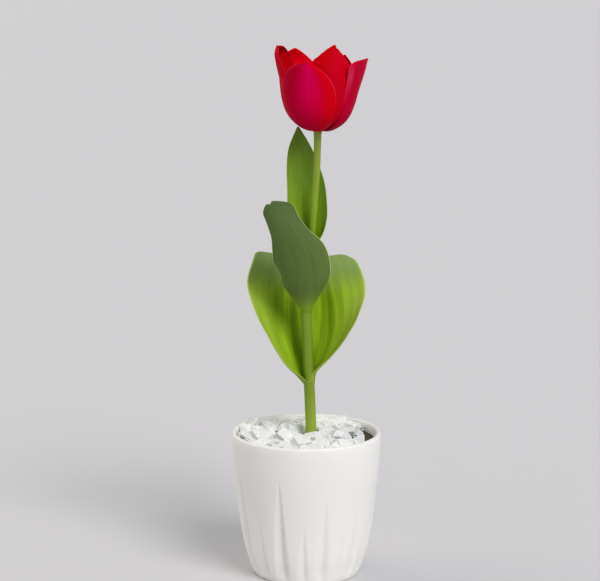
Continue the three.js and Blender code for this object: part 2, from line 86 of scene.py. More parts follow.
# A blade: each row runs over its front from edge to edge and comes back behind. Across is -cos(turn), and a
# point stands off the sheet by half the thickness times the root of sin(turn), so that the edges are round.
# From its base on it thickens with the root of the share of the way to thinTo.
def bladeFrom(sheet, shape, size, thickness):
    columns = size["columns"]
    share = np.linspace(0, 1, size["rows"] + 1)
    turn = np.linspace(0, np.pi, columns + 1)
    across = -np.cos(turn)
    middle = sheet(shape, share, across)
    normal = unit(np.cross(np.gradient(middle, axis=1), np.gradient(middle, axis=0)))
    thin = np.clip(share / size["thinTo"], 0.1, 1) ** 0.5
    half = (thickness / 2 * thin[:, None] * np.sqrt(np.sin(turn).clip(0)))[..., None] * normal
    behind = slice(columns - 1, 0, -1)
    grid = np.concatenate([middle + half, (middle - half)[:, behind]], 1)
    side = np.concatenate([[0.5], np.ones(columns - 1), [0.5], np.zeros(columns - 1)])
    marks = {
        "across": np.tile(np.concatenate([across, across[behind]]), size["rows"] + 1),
        "along": np.repeat(share, 2 * columns),
        "front": np.tile(side, size["rows"] + 1),
    }
    return grid, marks


# Faces over a grid whose rows close on themselves, as one array of quads and one of triangles. An end is
# drawn together to its middle, or zipped up between the two sides of a flat row. All of them are turned over
# if the volume that they enclose comes out negative.
def skinOver(grid, ends):
    rows, sides = grid.shape[:2]
    points = grid.reshape(-1, 3)
    index = np.arange(rows * sides).reshape(rows, sides)
    after = np.roll(index, -1, 1)
    quads = [np.stack([index[:-1], after[:-1], after[1:], index[1:]], -1).reshape(-1, 4)]
    triangles = [np.zeros((0, 3), int)]
    for row, step in ((0, -1), (rows - 1, 1)):
        ring = index[row]
        if ends == "point":
            fan = np.stack([ring, after[row], np.full(sides, len(points))], -1)
            points = np.vstack([points, grid[row].mean(0)])
            triangles.append(fan[:, ::step])
        else:
            half = sides // 2
            j = np.arange(1, half - 1)
            quads.append(np.stack([ring[j], ring[j + 1], ring[-(j + 1)], ring[-j]], -1)[:, ::step])
            triangles.append(ring[[[0, 1, -1], [half - 1, half, half + 1]]][:, ::step])
    quads, triangles = np.vstack(quads), np.vstack(triangles)
    corners = points[np.vstack([quads[:, :3], quads[:, [0, 2, 3]], triangles])]
    if (corners[:, 0] * np.cross(corners[:, 1], corners[:, 2])).sum() < 0:
        quads, triangles = quads[:, ::-1], triangles[:, ::-1]
    return points, [quads, triangles]


# Several surfaces as one: the corner numbers of each are moved on by the count of points before it.
def joined(surfaces):
    starts = np.cumsum([0] + [len(points) for points, _ in surfaces])
    faces = [block + start for (_, blocks), start in zip(surfaces, starts) for block in blocks]
    return np.vstack([points for points, _ in surfaces]), faces


# A smooth piece from points in millimetres. Its marks are numbers at each point that its finish reads.
def addPiece(name, points, faces, finish, slot, nodes, marks=None):
    mesh = bpy.data.meshes.new(name)
    faces = [face for block in faces for face in block.tolist()]
    mesh.from_pydata(points * mm, [], faces)
    mesh.shade_smooth()
    mesh.materials.append(finish)
    for mark, values in (marks or {}).items():
        values = np.resize(np.asarray(values, np.float32), len(points))
        mesh.attributes.new(mark, "FLOAT", "POINT").data.foreach_set("value", values)
    piece = bpy.data.objects.new(name, mesh)
    bpy.context.scene.collection.objects.link(piece)
    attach(piece, "root")
    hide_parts(*nodes)
    print("made", name, "with", len(faces), "faces")
    return piece


# Finishes

# A colour as its screen values from 0 to 255, turned into linear light.
def paint(red, green, blue):
    screen = np.array([red, green, blue]) / 255
    return (*np.where(screen < 0.04045, screen / 12.92, ((screen + 0.055) / 1.055) ** 2.4), 1.0)


# A shader node. An input is a number, a colour, or the socket that feeds it.
def addNode(tree, kind, inputs=None, **settings):
    node = tree.nodes.new("ShaderNode" + kind)
    for key, value in settings.items():
        setattr(node, key, value)
    for key, value in (inputs or {}).items():
        if isinstance(value, bpy.types.NodeSocket):
            tree.links.new(value, node.inputs[key])
        else:
            node.inputs[key].default_value = value
    return node


# The inputs of a finish's surface shader
def surfaceOf(tree):
    return tree.nodes["Principled BSDF"].inputs


# A material and its node tree. The look's within is how much of the light goes into the surface, how its red,
# green and blue spread there, and how far in metres.
def newFinish(name, look):
    finish = bpy.data.materials.new(name)
    finish.use_nodes = True
    surface = surfaceOf(finish.node_tree)
    surface["Roughness"].default_value = look["roughness"]
    surface["Specular IOR Level"].default_value = look.get("specular", 0.5)
    for socket, value in zip(("Weight", "Radius", "Scale"), look.get("within", ())):
        surface["Subsurface " + socket].default_value = value
    return finish, finish.node_tree


# One sum of up to three numbers
def mathNode(tree, operation, first, second=0.0, third=0.0, clamp=False):
    inputs = {0: first, 1: second, 2: third}
    return addNode(tree, "Math", inputs, operation=operation, use_clamp=clamp).outputs[0]


# first times second
def times(tree, first, second):
    return mathNode(tree, "MULTIPLY", first, second)


# first where amount is 0, second where it is 1.
def mixColours(tree, amount, first, second):
    return addNode(tree, "Mix", {0: amount, 6: first, 7: second}, data_type="RGBA").outputs[2]


# value from low to high becomes 0 to weight, with a soft start and end.
def stepNode(tree, value, low, high, weight=1.0):
    inputs = {"Value": value, "From Min": low, "From Max": high, "To Max": weight}
    return addNode(tree, "MapRange", inputs, interpolation_type="SMOOTHSTEP").outputs[0]


# The look's colour of this name, laid over another where value runs through the step of the same name.
def layer(tree, colour, value, look, name):
    return mixColours(tree, stepNode(tree, value, *look[name + "Step"]), colour, look[name])


# A noise between 0 and 1
def noiseNode(tree, place, scale, detail=3.0, roughness=0.55, distortion=0.0):
    inputs = {"Vector": place, "Scale": scale, "Detail": detail}
    inputs.update({"Roughness": roughness, "Distortion": distortion})
    return addNode(tree, "TexNoise", inputs).outputs["Fac"]


# The number that the piece's mark has at each point
def markNode(tree, mark):
    return addNode(tree, "Attribute", attribute_name=mark).outputs["Fac"]


# The place on the piece in metres, which is the place in the scene
def objectPlace(tree):
    return addNode(tree, "TexCoord").outputs["Object"]


# How high the place is, in metres
def heightNode(tree, place):
    return addNode(tree, "SeparateXYZ", {0: place}).outputs["Z"]


bladeNoise = {"scale": 1.6, "sides": 3.0}  # sides sets the pattern behind off from the one in front


# Noise that follows a blade: its place is across, along and side, each times a number that draws it out.
def noiseOnBlade(tree, acrossTimes, alongTimes, *noise):
    across = times(tree, markNode(tree, "across"), acrossTimes)
    along = times(tree, markNode(tree, "along"), alongTimes)
    side = times(tree, markNode(tree, "front"), bladeNoise["sides"])
    place = addNode(tree, "CombineXYZ", {"X": across, "Y": along, "Z": side}).outputs[0]
    return noiseNode(tree, place, bladeNoise["scale"], *noise)


# The surface takes its colour and its bumps. The look's bump is their full height in millimetres, and
# strength.
def dress(tree, colour, height, look):
    length, strength = look["bump"]
    bump = addNode(tree, "Bump", {"Height": height, "Distance": length * mm, "Strength": strength})
    tree.links.new(colour, surfaceOf(tree)["Base Color"])
    tree.links.new(bump.outputs[0], surfaceOf(tree)["Normal"])


# Pot

pot = {
    "height": 101, "rim": 52, "foot": 37.5, "footEdge": 0.9, "floor": 5, "lip": 2.8,
    "outside": [[37.5, 0.9], [39.3, 5.2], [43.6, 20], [46.7, 38], [49.3, 59.6], [51.3, 77], [52, 90],
                [52, 99.6]],
    "inside": [[49.2, 99.6], [48.7, 92], [45.2, 60], [41.2, 30], [33.5, 5]],
    "sides": 480, "wallRows": 120, "arcRows": 16, "innerRows": 36, "flatRows": 8, "flatFrom": 0.02,
    "footArc": (-80, -10, 5),  # from and to in degrees, and its points
}
gouges = {
    "count": 20, "first": -42.5, "sway": 4.5, "depth": 3.8, "fade": 9,
    # height of their tops, how much it varies, half width and share of the depth
    "tall": (70, 11, 9.5, 1), "short": (43, 5, 7.5, 0.6),
    "shallow": 0.3,  # they lose up to twice this share of it and win it back, twice round the pot
    "leanLeft": 1.15, "leanRight": 0.72,  # each wall's share of the half width
    "soften": 0.05,  # rounds the crease, as a share of the half width
    "bend": 1.15,  # above 1 the walls steepen towards the crease
    "deepen": 0.8, "widen": 0.7,  # the powers with which depth and width grow down from the top
}
# A finish holds colours, noises as (scale, detail, roughness, distortion) and steps as (low, high, weight).
glaze = {
    "light": paint(241, 239, 234), "dull": paint(236, 234, 228), "cloud": (16.0, 2.0),
    "bounceLight": paint(252, 249, 242), "bounceLightStep": (0.058, 0.012, 0.5),  # painted bounce light, whiter low down on the wall
    # painted light whitens the inside, and painted shade greys the lip
    "inside": paint(253, 252, 247), "lip": paint(218, 217, 212), "lipStep": (0.1, 0.101),
    # painted shade greys the gouges by their depth
    "crease": paint(214, 211, 202), "creaseStep": (0.35, 1.0, 0.25),
    "speck": paint(190, 184, 172), "speckNoise": (900.0, 1.0), "speckStep": (0.74, 0.8, 0.25),
    "bare": paint(206, 196, 180), "bareStep": (0.0009, 0.0002),  # it is wiped off the foot
    "roughness": 0.42, "bareRoughness": 0.87, "specular": 0.25, "within": (0.5, (1.0, 0.95, 0.85), 0.006),
    "skin": (260.0, 2.0), "wave": (34.0, 1.0), "waveTimes": 4.0, "bump": (0.05, 0.6),
}


# Each gouge is a V across: (1 - distance from its middle over its half width)^bend. Depth and width grow with
# powers of the way down from its top. Where gouges meet, the deepest counts, and all of them run out at the
# underside.
def gougeDepth(azimuth, height):
    deepest = np.zeros(np.broadcast(azimuth, height).shape)
    for k in range(gouges["count"]):
        sway = 4 * np.pi * k / gouges["count"]
        middle = gouges["first"] + 360 / gouges["count"] * k + gouges["sway"] * np.sin(sway)
        top, vary, halfWidth, part = gouges["tall"] if k % 2 else gouges["short"]
        full = gouges["depth"] * part * (1 - gouges["shallow"] * (1 - np.cos(sway)))
        down = np.maximum(1 - height / (top + vary * np.cos(sway)), 0)
        away = (azimuth - middle + 180) % 360 - 180
        away = away / (halfWidth * np.maximum(down, tiny) ** gouges["widen"])
        away = np.where(away < 0, away / gouges["leanLeft"], away / gouges["leanRight"])
        across = np.maximum(1 - np.sqrt(away**2 + gouges["soften"] ** 2), 0)
        deepest = np.maximum(deepest, full * down ** gouges["deepen"] * across ** gouges["bend"])
    return deepest * np.clip(height / gouges["fade"], 0, 1)


# The profile from the middle of the underside up the outside, over the lip and down to the middle of the
# floor.
def potProfile():
    flat = np.linspace(pot["flatFrom"], 1, pot["flatRows"])
    under = np.stack([(pot["foot"] - pot["footEdge"]) * flat, 0 * flat], 1)
    foot = np.radians(np.linspace(*pot["footArc"]))
    edge = [pot["foot"] + pot["footEdge"] * (np.cos(foot) - 1), pot["footEdge"] * (1 + np.sin(foot))]
    wall = curveThrough(pot["outside"], np.linspace(0, 1, pot["wallRows"] + 1))
    arc = np.radians(np.linspace(0, 180, pot["arcRows"] + 1)[1:-1])
    half = pot["lip"] / 2
    lip = np.stack([pot["rim"] + half * (np.cos(arc) - 1), pot["height"] + half * (np.sin(arc) - 1)], 1)
    inner = curveThrough(pot["inside"], np.linspace(0, 1, pot["innerRows"] + 1))
    floor = np.stack([pot["inside"][-1][0] * flat[::-1], 0 * flat + pot["floor"]], 1)[1:]
    outer = np.vstack([under, np.stack(edge, 1), wall])
    return np.vstack([outer, lip, inner, floor]), len(outer)


# Two whites in clouds, with painted bounce light whiter low down, painted light whiter inside, painted shade
# greyer in the creases and along the lip, and a few specks. The foot is bare and rougher.
def glazeFinish():
    finish, tree = newFinish("whiteGlaze", glaze)
    place = objectPlace(tree)
    height = heightNode(tree, place)
    colour = mixColours(tree, noiseNode(tree, place, *glaze["cloud"]), glaze["light"], glaze["dull"])
    # painted bounce light: whiter low down
    colour = layer(tree, colour, height, glaze, "bounceLight")
    # painted light: the inside is whiter
    colour = mixColours(tree, markNode(tree, "inside"), colour, glaze["inside"])
    # painted shade in the creases
    colour = layer(tree, colour, markNode(tree, "crease"), glaze, "crease")
    colour = layer(tree, colour, noiseNode(tree, place, *glaze["speckNoise"]), glaze, "speck")
    # the bare foot's own colour, and painted shade along the lip
    for name in ("bare", "lip"):
        colour = layer(tree, colour, height, glaze, name)
    bare = stepNode(tree, height, *glaze["bareStep"])
    rougher = glaze["bareRoughness"] - glaze["roughness"]
    rough = mathNode(tree, "MULTIPLY_ADD", bare, rougher, glaze["roughness"])
    tree.links.new(rough, surfaceOf(tree)["Roughness"])
    skin = noiseNode(tree, place, *glaze["skin"])
    wave = noiseNode(tree, place, *glaze["wave"])
    relief = mathNode(tree, "MULTIPLY_ADD", wave, glaze["waveTimes"], skin)
    dress(tree, colour, relief, glaze)
    return finish


# The profile turned round the axis, its radius less the gouges' depth on the outside
def makePot():
    profile, outer = potProfile()
    azimuth = np.arange(pot["sides"]) * 360 / pot["sides"]
    radius = np.repeat(profile[:, :1], pot["sides"], 1)
    cut = gougeDepth(azimuth[None, :], profile[:outer, 1:])
    cut[: pot["flatRows"]] = 0
    radius[:outer] -= cut
    grid = aroundAxis(radius, azimuth[None, :], profile[:, 1:])
    # The gouges' depth, which the glaze greys with painted shade
    crease = np.zeros(grid.shape[:2])
    crease[:outer] = cut / gouges["depth"]
    points, faces = skinOver(grid, "point")
    # The inside rows are marked, for the glaze's painted light there.
    inside = np.zeros(grid.shape[:2])
    inside[outer + pot["arcRows"] :] = 1
    marks = {"crease": np.append(crease, [0, 0]), "inside": np.append(inside, [0, 1])}
    addPiece("pot_glazed", points, faces, glazeFinish(), "glaze", ["pot"], marks)


makePot()


# Soil

soil = {
    "top": 94.2, "gap": 0.3, "holeX": 3.3, "holeRadius": 4.4, "holeBottom": 39.7,
    "sides": 160, "topRows": 60, "wallRows": 24, "edgeRound": 2, "holeRings": (0.02, 0.5, 1.0),
    "underRings": (0.5, 0.1), "waves": 9, "waveSize": (0.7, 1.4), "calm": 4, "edgeBlunt": 0.4,
    "lumps": 0.9, "lumpSize": 9, "lumpSeed": 5, "crumbs": 0.6, "crumbSize": 3.5, "crumbSeed": 6,
}
earth = {
    "dark": paint(30, 25, 17), "light": paint(98, 90, 62), "crumbs": (420.0, 4.0, 0.7), "bump": (1.2, 1.0),
    "fibre": paint(128, 118, 78), "fibreNoise": (150.0, 3.0, 0.6, 1.5), "fibreStep": (0.6, 0.72, 0.4),
    "roughness": 0.9,
}


# The radius of the pot's inner wall at a height, straight from knot to knot
def potInside(height):
    radii, heights = np.array(pot["inside"])[::-1].T
    return np.interp(height, heights, radii)


# Waves of about one size that run many ways and add up to an uneven field: the sum of sin(2 pi (way . place /
# size + phase)), made calmer.
def unevenness(x, y, size, seed):
    random = np.random.default_rng(seed)
    total = np.zeros(np.broadcast(x, y).shape)
    small, large = soil["waveSize"]
    for turn, phase, stretch in random.uniform(0, 1, (soil["waves"], 3)):
        way = 2 * np.pi * turn
        length = size * (small + (large - small) * stretch)
        wave = (x * np.cos(way) + y * np.sin(way)) * 2 * np.pi / length
        total += np.sin(wave + 2 * np.pi * phase) / soil["calm"]
    return total


# Rays leave the stem's hole in every direction and end on a circle round the pot's axis, so that a row of
# points lies at a share of the way between the two.
def raysFromHole(turn, share, radius):
    reach = -soil["holeX"] * np.cos(turn) + np.sqrt(radius**2 - (soil["holeX"] * np.sin(turn)) ** 2)
    length = soil["holeRadius"] + (reach - soil["holeRadius"]) * share
    return soil["holeX"] + length * np.cos(turn), length * np.sin(turn)


# Crumbs from dark to light, with paler fibres
def earthFinish():
    finish, tree = newFinish("dampSoil", earth)
    place = objectPlace(tree)
    crumbs = noiseNode(tree, place, *earth["crumbs"])
    colour = mixColours(tree, crumbs, earth["dark"], earth["light"])
    colour = layer(tree, colour, noiseNode(tree, place, *earth["fibreNoise"]), earth, "fibre")
    dress(tree, colour, crumbs, earth)
    return finish


# Rows of points from the floor of the stem's hole over the top and down the pot's wall to the underside. The
# top is uneven except at its two edges.
def makeSoil():
    turn = np.arange(soil["sides"]) * 2 * np.pi / soil["sides"]
    bottom = pot["floor"] + soil["gap"]
    rows = []
    for share in soil["holeRings"]:
        ring = soil["holeRadius"] * share
        rows.append((soil["holeX"] + ring * np.cos(turn), ring * np.sin(turn), 0 * turn + soil["holeBottom"]))
    for share in np.linspace(0, 1, soil["topRows"] + 1):
        x, y = raysFromHole(turn, share, potInside(soil["top"]) - soil["gap"])
        lumps = unevenness(x, y, soil["lumpSize"], soil["lumpSeed"])
        lumps = lumps + soil["crumbs"] * unevenness(x, y, soil["crumbSize"], soil["crumbSeed"])
        fromEdges = math.sin(math.pi * share) ** soil["edgeBlunt"]
        rows.append((x, y, soil["top"] + soil["lumps"] * (lumps - 1) * fromEdges))
    for height in np.linspace(soil["top"] - soil["edgeRound"], bottom, soil["wallRows"]):
        rows.append((*raysFromHole(turn, 1.0, potInside(height) - soil["gap"]), 0 * turn + height))
    for share in soil["underRings"]:
        rows.append((*raysFromHole(turn, share, potInside(bottom) - soil["gap"]), 0 * turn + bottom))
    points, faces = skinOver(np.stack([np.stack(row, -1) for row in rows]), "point")
    addPiece("soil_crumbly", points, faces, earthFinish(), "earth", ["soil"])


makeSoil()


# Marble chips

chips = {
    "seed": 4111, "rings": [9.5, 18.5, 27.5, 36, 43], "spacing": 10.2, "stagger": 7, "limit": 48.2,
    "ringHalf": (4.5, 7.5), "ringTurn": (-0.3, 0.3), "ringShift": (-1.2, 1.2), "ringLift": (2.2, 3.6),
    "loose": 18, "looseHalf": (4.8, 7.2), "looseRadius": (12, 39), "looseTurn": (180, 200), "looseSweep": 300,
    "looseLift": (4.4, 5.2), "stemRoom": 0.75,
    "bareFrom": 72, "bareTo": 118, "bareInside": 40.5,  # the bare patch: its azimuths, and x where it starts
    "patchFrom": 56, "patchSide": 40.3,  # from this azimuth to bareTo, points are drawn back to this x
    "sunk": 2.8, "sunkFrom": 179, "sunkTo": 222, "sunkOutside": 34,  # stones lie lower in this part
    "cuts": 9, "lean": (-0.25, 0.25), "reach": (0.7, 1), "width": (0.6, 0.85), "tall": (0.5, 0.7),
    "tilt": (-0.35, 0.35), "ease": 1.25, "swell": 1.12,
    "block": (0.55, 0.9), "skew": 0.2,  # reach and slant of the six sides of the block that each broke out as
    # single stones as [x, y, half length, height over the soil]
    "extra": [[36.8, -7.8, 3.6, 2.2], [38.2, 0, 3.4, 2], [37.1, 7.2, 3.6, 2.3], [33.9, 14.4, 3.8, 2.2],
              [-38, 1.5, 7.2, 4.6], [-15.5, -15, 8.2, 4.6], [-4, -30, 8.6, 3.6], [14, 0, 7.4, 5],
              [29.5, 2, 7, 5], [-40, -13, 5.2, 3.4], [9, -37, 6.4, 3.2], [27, -30, 6, 3.4],
              [-22, -34, 5.6, 3.2], [-37, 23, 6.4, 6.8], [-43, 12, 4.6, 6]],
}
# Of each pair the first is for crumbs all over the soil and the second for those along the edge.
grit = {
    "seed": 77, "count": (260, 110), "reach": 47, "edgeReach": (45.4, 47.8),
    "half": ((1.0, 2.6), (1.8, 3.6)), "lift": ((0.2, 1.2), (0.6, 3)),
}
marble = {
    "light": paint(233, 233, 231), "dull": paint(216, 218, 218), "roughness": 0.6, "specular": 0.3,
    "vein": paint(180, 183, 184), "veinNoise": (95.0, 4.0, 0.6, 2.2), "veinStep": (0.035, 0.0, 0.45),
    "dust": paint(222, 216, 203), "dustNoise": (60.0, 3.0), "dustStep": (0.62, 0.8, 0.25),
    "soilAndShade": paint(120, 116, 106), "soilAndShadeStep": (0.0972, 0.095, 0.75),  # low down they are darker: dirty with soil, and painted shade between the stones
    "grain": (900.0, 4.0, 0.65), "bump": (0.12, 0.6),
}


# The same row of numbers between 0 and 1 from the same seed: each is the last one times 16807, less whole
# times 2147483647, over that number.
def drawsFrom(seed):
    state = seed
    while True:
        state = state * 16807 % 2147483647
        yield state / 2147483647


# The first end, and on from it by a draw's share of the way to the second
def between(draws, ends):
    return ends[0] + (ends[1] - ends[0]) * next(draws)


# Directions spread evenly over a ball: heights in even steps, each turned on by the golden angle.
def spreadOver(count):
    step = np.arange(count)
    z = 1 - (2 * step + 1) / count
    turn = math.pi * (3 - math.sqrt(5)) * step
    ring = np.sqrt(1 - z**2)
    return np.stack([ring * np.cos(turn), ring * np.sin(turn), z], -1)


# Where the chips lie and half their lengths: rings of them, and then loose ones on those.
def chipPlaces(draws):
    places = []
    for ring in chips["rings"]:
        count = round(2 * math.pi * ring / chips["spacing"])
        for k in range(count):
            azimuth = 360 / count * (k + between(draws, chips["ringTurn"])) + chips["stagger"] * ring
            half = between(draws, chips["ringHalf"])
            radius = min(ring + between(draws, chips["ringShift"]), chips["limit"] - half)
            place = aroundAxis(radius, azimuth, soil["top"] + between(draws, chips["ringLift"]))
            inPatch = chips["bareFrom"] < azimuth % 360 < chips["bareTo"]
            if not (inPatch and place[0] > chips["bareInside"] - half):
                places.append((place, half))
    for k in range(chips["loose"]):
        half = between(draws, chips["looseHalf"])
        radius = between(draws, chips["looseRadius"])
        azimuth = chips["looseSweep"] * k / chips["loose"] + between(draws, chips["looseTurn"])
        places.append((aroundAxis(radius, azimuth, soil["top"] + between(draws, chips["looseLift"])), half))
    clear = [math.hypot(x - soil["holeX"], y) - chips["stemRoom"] * half for (x, y, _), half in places]
    return [place for place, room in zip(places, clear) if room > soil["holeRadius"]]


# The matrix that turns about X, then about Y and then about Z
def turnedBy(tiltX, tiltY, turn):
    cx, sx, cy, sy, cz, sz = (f(a) for a in (tiltX, tiltY, turn) for f in (math.cos, math.sin))
    aboutX = np.array([[1, 0, 0], [0, cx, -sx], [0, sx, cx]])
    aboutY = np.array([[cy, 0, sy], [0, 1, 0], [-sy, 0, cy]])
    aboutZ = np.array([[cz, -sz, 0], [sz, cz, 0], [0, 0, 1]])
    return aboutZ @ aboutY @ aboutX


# A broken stone is the space behind its cuts. A corner is where direction times point is the distance for
# three cuts at once, if it lies behind all the others. A face is one cut's corners, in order of their turn
# round it.
def stoneSurface(cuts, distance):
    three = np.array(list(itertools.combinations(range(len(cuts)), 3)))
    three = three[np.abs(np.linalg.det(cuts[three])) > tiny]
    corners = np.linalg.solve(cuts[three], distance[three][..., None])[..., 0]
    behind = (corners @ cuts.T < distance + tiny).all(1)
    three, corners = three[behind], corners[behind]
    faces = []
    for k, cut in enumerate(cuts):
        own = np.flatnonzero((three == k).any(1))
        if len(own) > 2:
            spokes = corners[own] - corners[own].mean(0)
            right = unit(spokes[0])
            turn = np.arctan2(spokes @ np.cross(cut, right), spokes @ right)
            faces.append(own[np.argsort(turn)][None])
    return corners, faces


# The solid's own cuts, set back a little, and the six sides of a block, all squeezed, tilted and turned.
def brokenStone(draws, random, place, half):
    cuts = spreadOver(chips["cuts"])
    distance = np.zeros(chips["cuts"])
    for k in range(chips["cuts"]):
        cuts[k, 0] += between(draws, chips["lean"])
        cuts[k, 1] += between(draws, chips["lean"])
        distance[k] = between(draws, chips["reach"])
    block = turnedBy(*random.uniform(-math.pi, math.pi, 3))
    sides = np.vstack([block, -block]) + random.normal(0, chips["skew"], (6, 3))
    distance = np.concatenate([distance * chips["ease"], random.uniform(*chips["block"], 6)])
    corners, faces = stoneSurface(np.vstack([unit(cuts), unit(sides)]), distance)
    size = np.array([1, between(draws, chips["width"]), between(draws, chips["tall"])])
    size = chips["swell"] * half * size
    tilts = [between(draws, chips["tilt"]), between(draws, chips["tilt"])]
    return corners * size @ turnedBy(*tilts, 2 * math.pi * next(draws)).T + place, faces


# White to pale grey from stone to stone, with veins where a noise is near its middle, dust, and low down soil
# dirt with painted shade
def marbleFinish():
    finish, tree = newFinish("whiteMarble", marble)
    place = objectPlace(tree)
    tone = markNode(tree, "tone")
    shift = addNode(tree, "CombineXYZ", {"X": tone}).outputs[0]  # each stone has its own veins
    shifted = addNode(tree, "VectorMath", {0: place, 1: shift}).outputs[0]
    vein = mathNode(tree, "SUBTRACT", noiseNode(tree, shifted, *marble["veinNoise"]), 0.5)
    colour = mixColours(tree, tone, marble["light"], marble["dull"])
    colour = layer(tree, colour, mathNode(tree, "ABSOLUTE", vein), marble, "vein")
    colour = layer(tree, colour, noiseNode(tree, place, *marble["dustNoise"]), marble, "dust")
    # darker low down: soil dirt, and painted shade between the stones
    colour = layer(tree, colour, heightNode(tree, place), marble, "soilAndShade")
    dress(tree, colour, noiseNode(tree, place, *marble["grain"]), marble)
    return finish


# Stones as one mesh. Points past the pot's wall, in the stem's hole or in the bare patch are moved to its
# edge: radius times limit / radius, and the same round the stem.
def addStones(name, stones, random, finish):
    points, faces = joined(stones)
    hole = np.array([soil["holeX"], 0])
    radius = np.linalg.norm(points[:, :2], axis=1, keepdims=True)
    points[:, :2] *= np.minimum(chips["limit"] / radius, 1)
    fromStem = points[:, :2] - hole
    radius = np.maximum(np.linalg.norm(fromStem, axis=1, keepdims=True), tiny)
    points[:, :2] = hole + fromStem * np.maximum(soil["holeRadius"] / radius, 1)
    azimuth = np.degrees(np.arctan2(points[:, 0], -points[:, 1])) % 360
    inPatch = (azimuth > chips["patchFrom"]) & (azimuth < chips["bareTo"])
    points[inPatch, 0] = np.minimum(points[inPatch, 0], chips["patchSide"])
    points[:, 2] = np.maximum(points[:, 2], soil["top"] + soil["gap"])
    tones = np.repeat(random.uniform(0, 1, len(stones)), [len(corners) for corners, _ in stones])
    piece = addPiece(name, points, faces, finish, "marble", ["marble_chips"], {"tone": tones})
    piece.data.shade_flat()


# Whether a stone lies in the part of the edge where they are lower
def isSunk(x, y):
    azimuth = math.degrees(math.atan2(x, -y)) % 360
    return chips["sunkFrom"] < azimuth < chips["sunkTo"] and math.hypot(x, y) > chips["sunkOutside"]


# Draws for the crumbs all over the soil and then for those along the edge, between their own ends.
def gritDraws(random, inner, edge):
    return np.concatenate([random.uniform(*ends, count) for ends, count in zip((inner, edge), grit["count"])])


# Stones at their places, and then crumbs: scattered by radius = reach times the root of a draw, and along the
# edge
def makeChips():
    finish = marbleFinish()
    random = np.random.default_rng(chips["seed"])
    draws = drawsFrom(chips["seed"])
    places = chipPlaces(draws)
    for place, _ in places:
        place[2] -= chips["sunk"] * isSunk(place[0], place[1])
    places += [((x, y, soil["top"] + lift), half) for x, y, half, lift in chips["extra"]]
    stones = [brokenStone(draws, random, place, half) for place, half in places]
    addStones("marble_chips_broken", stones, random, finish)

    draws = drawsFrom(grit["seed"])
    count, edgeCount = grit["count"]
    ring = random.uniform(*grit["edgeReach"], edgeCount)
    radius = np.concatenate([grit["reach"] * np.sqrt(random.uniform(0, 1, count)), ring])
    half = gritDraws(random, *grit["half"])
    lift = gritDraws(random, *grit["lift"])
    azimuth = np.concatenate([random.uniform(0, 360, count), np.arange(edgeCount) * 360 / edgeCount])
    place = aroundAxis(radius, azimuth, soil["top"] + soil["gap"] + lift)
    fromStem = np.hypot(place[:, 0] - soil["holeX"], place[:, 1])
    inPatch = (azimuth > chips["bareFrom"]) & (azimuth < chips["bareTo"])
    clear = (fromStem > soil["holeRadius"] + half) & ((place[:, 0] < chips["bareInside"] - half) | ~inPatch)
    crumbs = [brokenStone(draws, random, *each) for each in zip(place[clear], half[clear])]
    addStones("marble_grit", crumbs, random, finish)


makeChips()


# Stem: [x, y, z] along its middle, then along the bloom's own axis into the receptacle

# The bloom's axis leans towards +X. Its tepals bow back from it by up to bow, halfway up to bowTo.
bloom = {"base": [7.7, 0, 311.5], "lean": 3.4, "bow": 1.25, "bowTo": 52}
stem = {
    "line": [[3.3, 0, 40], [3.3, 0, 75], [3.3, 0, 101], [2, 0, 134.5], [0.6, 0, 165.8], [-0.1, 0, 187],
             [1.4, 0, 215], [4.2, 0, 244.5], [5.7, 0, 266], [7.1, 0, 289], [7.7, 0, 310.5]],
    "radius": [[40, 3.7], [101, 3.8], [187, 3.65], [215, 3.1], [240, 2.5], [300, 2.45], [312, 2.7]],
    "receptacle": [[-3.2, 2.6], [-1, 2.8], [-0.5, 3.0], [-0.2, 3.0], [-0.1, 2.2], [0.9, 2.2], [1.15, 6.0],
                   [1.85, 6.0], [2.1, 2.2], [3.0, 2.2], [3.4, 1.8]],  # it is widest between the two cups
    "joint": 4,  # the line ends this far below the bloom's base
    "sides": 48, "rows": 240, "ribs": 9, "ribHeight": 0.0167,
}
stalk = {
    "root": paint(158, 178, 62), "streak": paint(98, 124, 36), "sheath": paint(130, 156, 46),
    # a colour from the low end of each step on up
    "shades": [(0.098, 0.135, paint(126, 150, 44)), (0.20, 0.24, paint(138, 166, 40)),
               (0.255, 0.31, paint(138, 158, 58))],
    "roughness": 0.45, "specular": 0.15, "within": (0.1, (0.6, 1.0, 0.2), 0.002),
    "streaks": (900.0, 3.0), "drawnOut": 0.06, "streakWeight": 0.5, "bump": (0.12, 0.6),
}


# Turned by the lean about the Y axis, then moved to the bloom's base.
def inBloom(points):
    lean = math.radians(bloom["lean"])
    x, y, z = np.moveaxis(np.asarray(points, float), -1, 0)
    right = x * math.cos(lean) + z * math.sin(lean)
    up = z * math.cos(lean) - x * math.sin(lean)
    return np.stack([right, y, up], -1) + bloom["base"]


# One green after another up the stem, under darker streaks that run along it
def stemFinish():
    finish, tree = newFinish("stalkSkin", stalk)
    place = objectPlace(tree)
    height = heightNode(tree, place)
    drawnOut = addNode(tree, "Mapping", {"Vector": place, "Scale": (1.0, 1.0, stalk["drawnOut"])}).outputs[0]
    streaks = noiseNode(tree, drawnOut, *stalk["streaks"])
    colour = stalk["root"]
    for low, high, shade in stalk["shades"]:
        colour = mixColours(tree, stepNode(tree, height, low, high), colour, shade)
    colour = mixColours(tree, times(tree, streaks, stalk["streakWeight"]), colour, stalk["streak"])
    dress(tree, colour, streaks, stalk)
    return finish


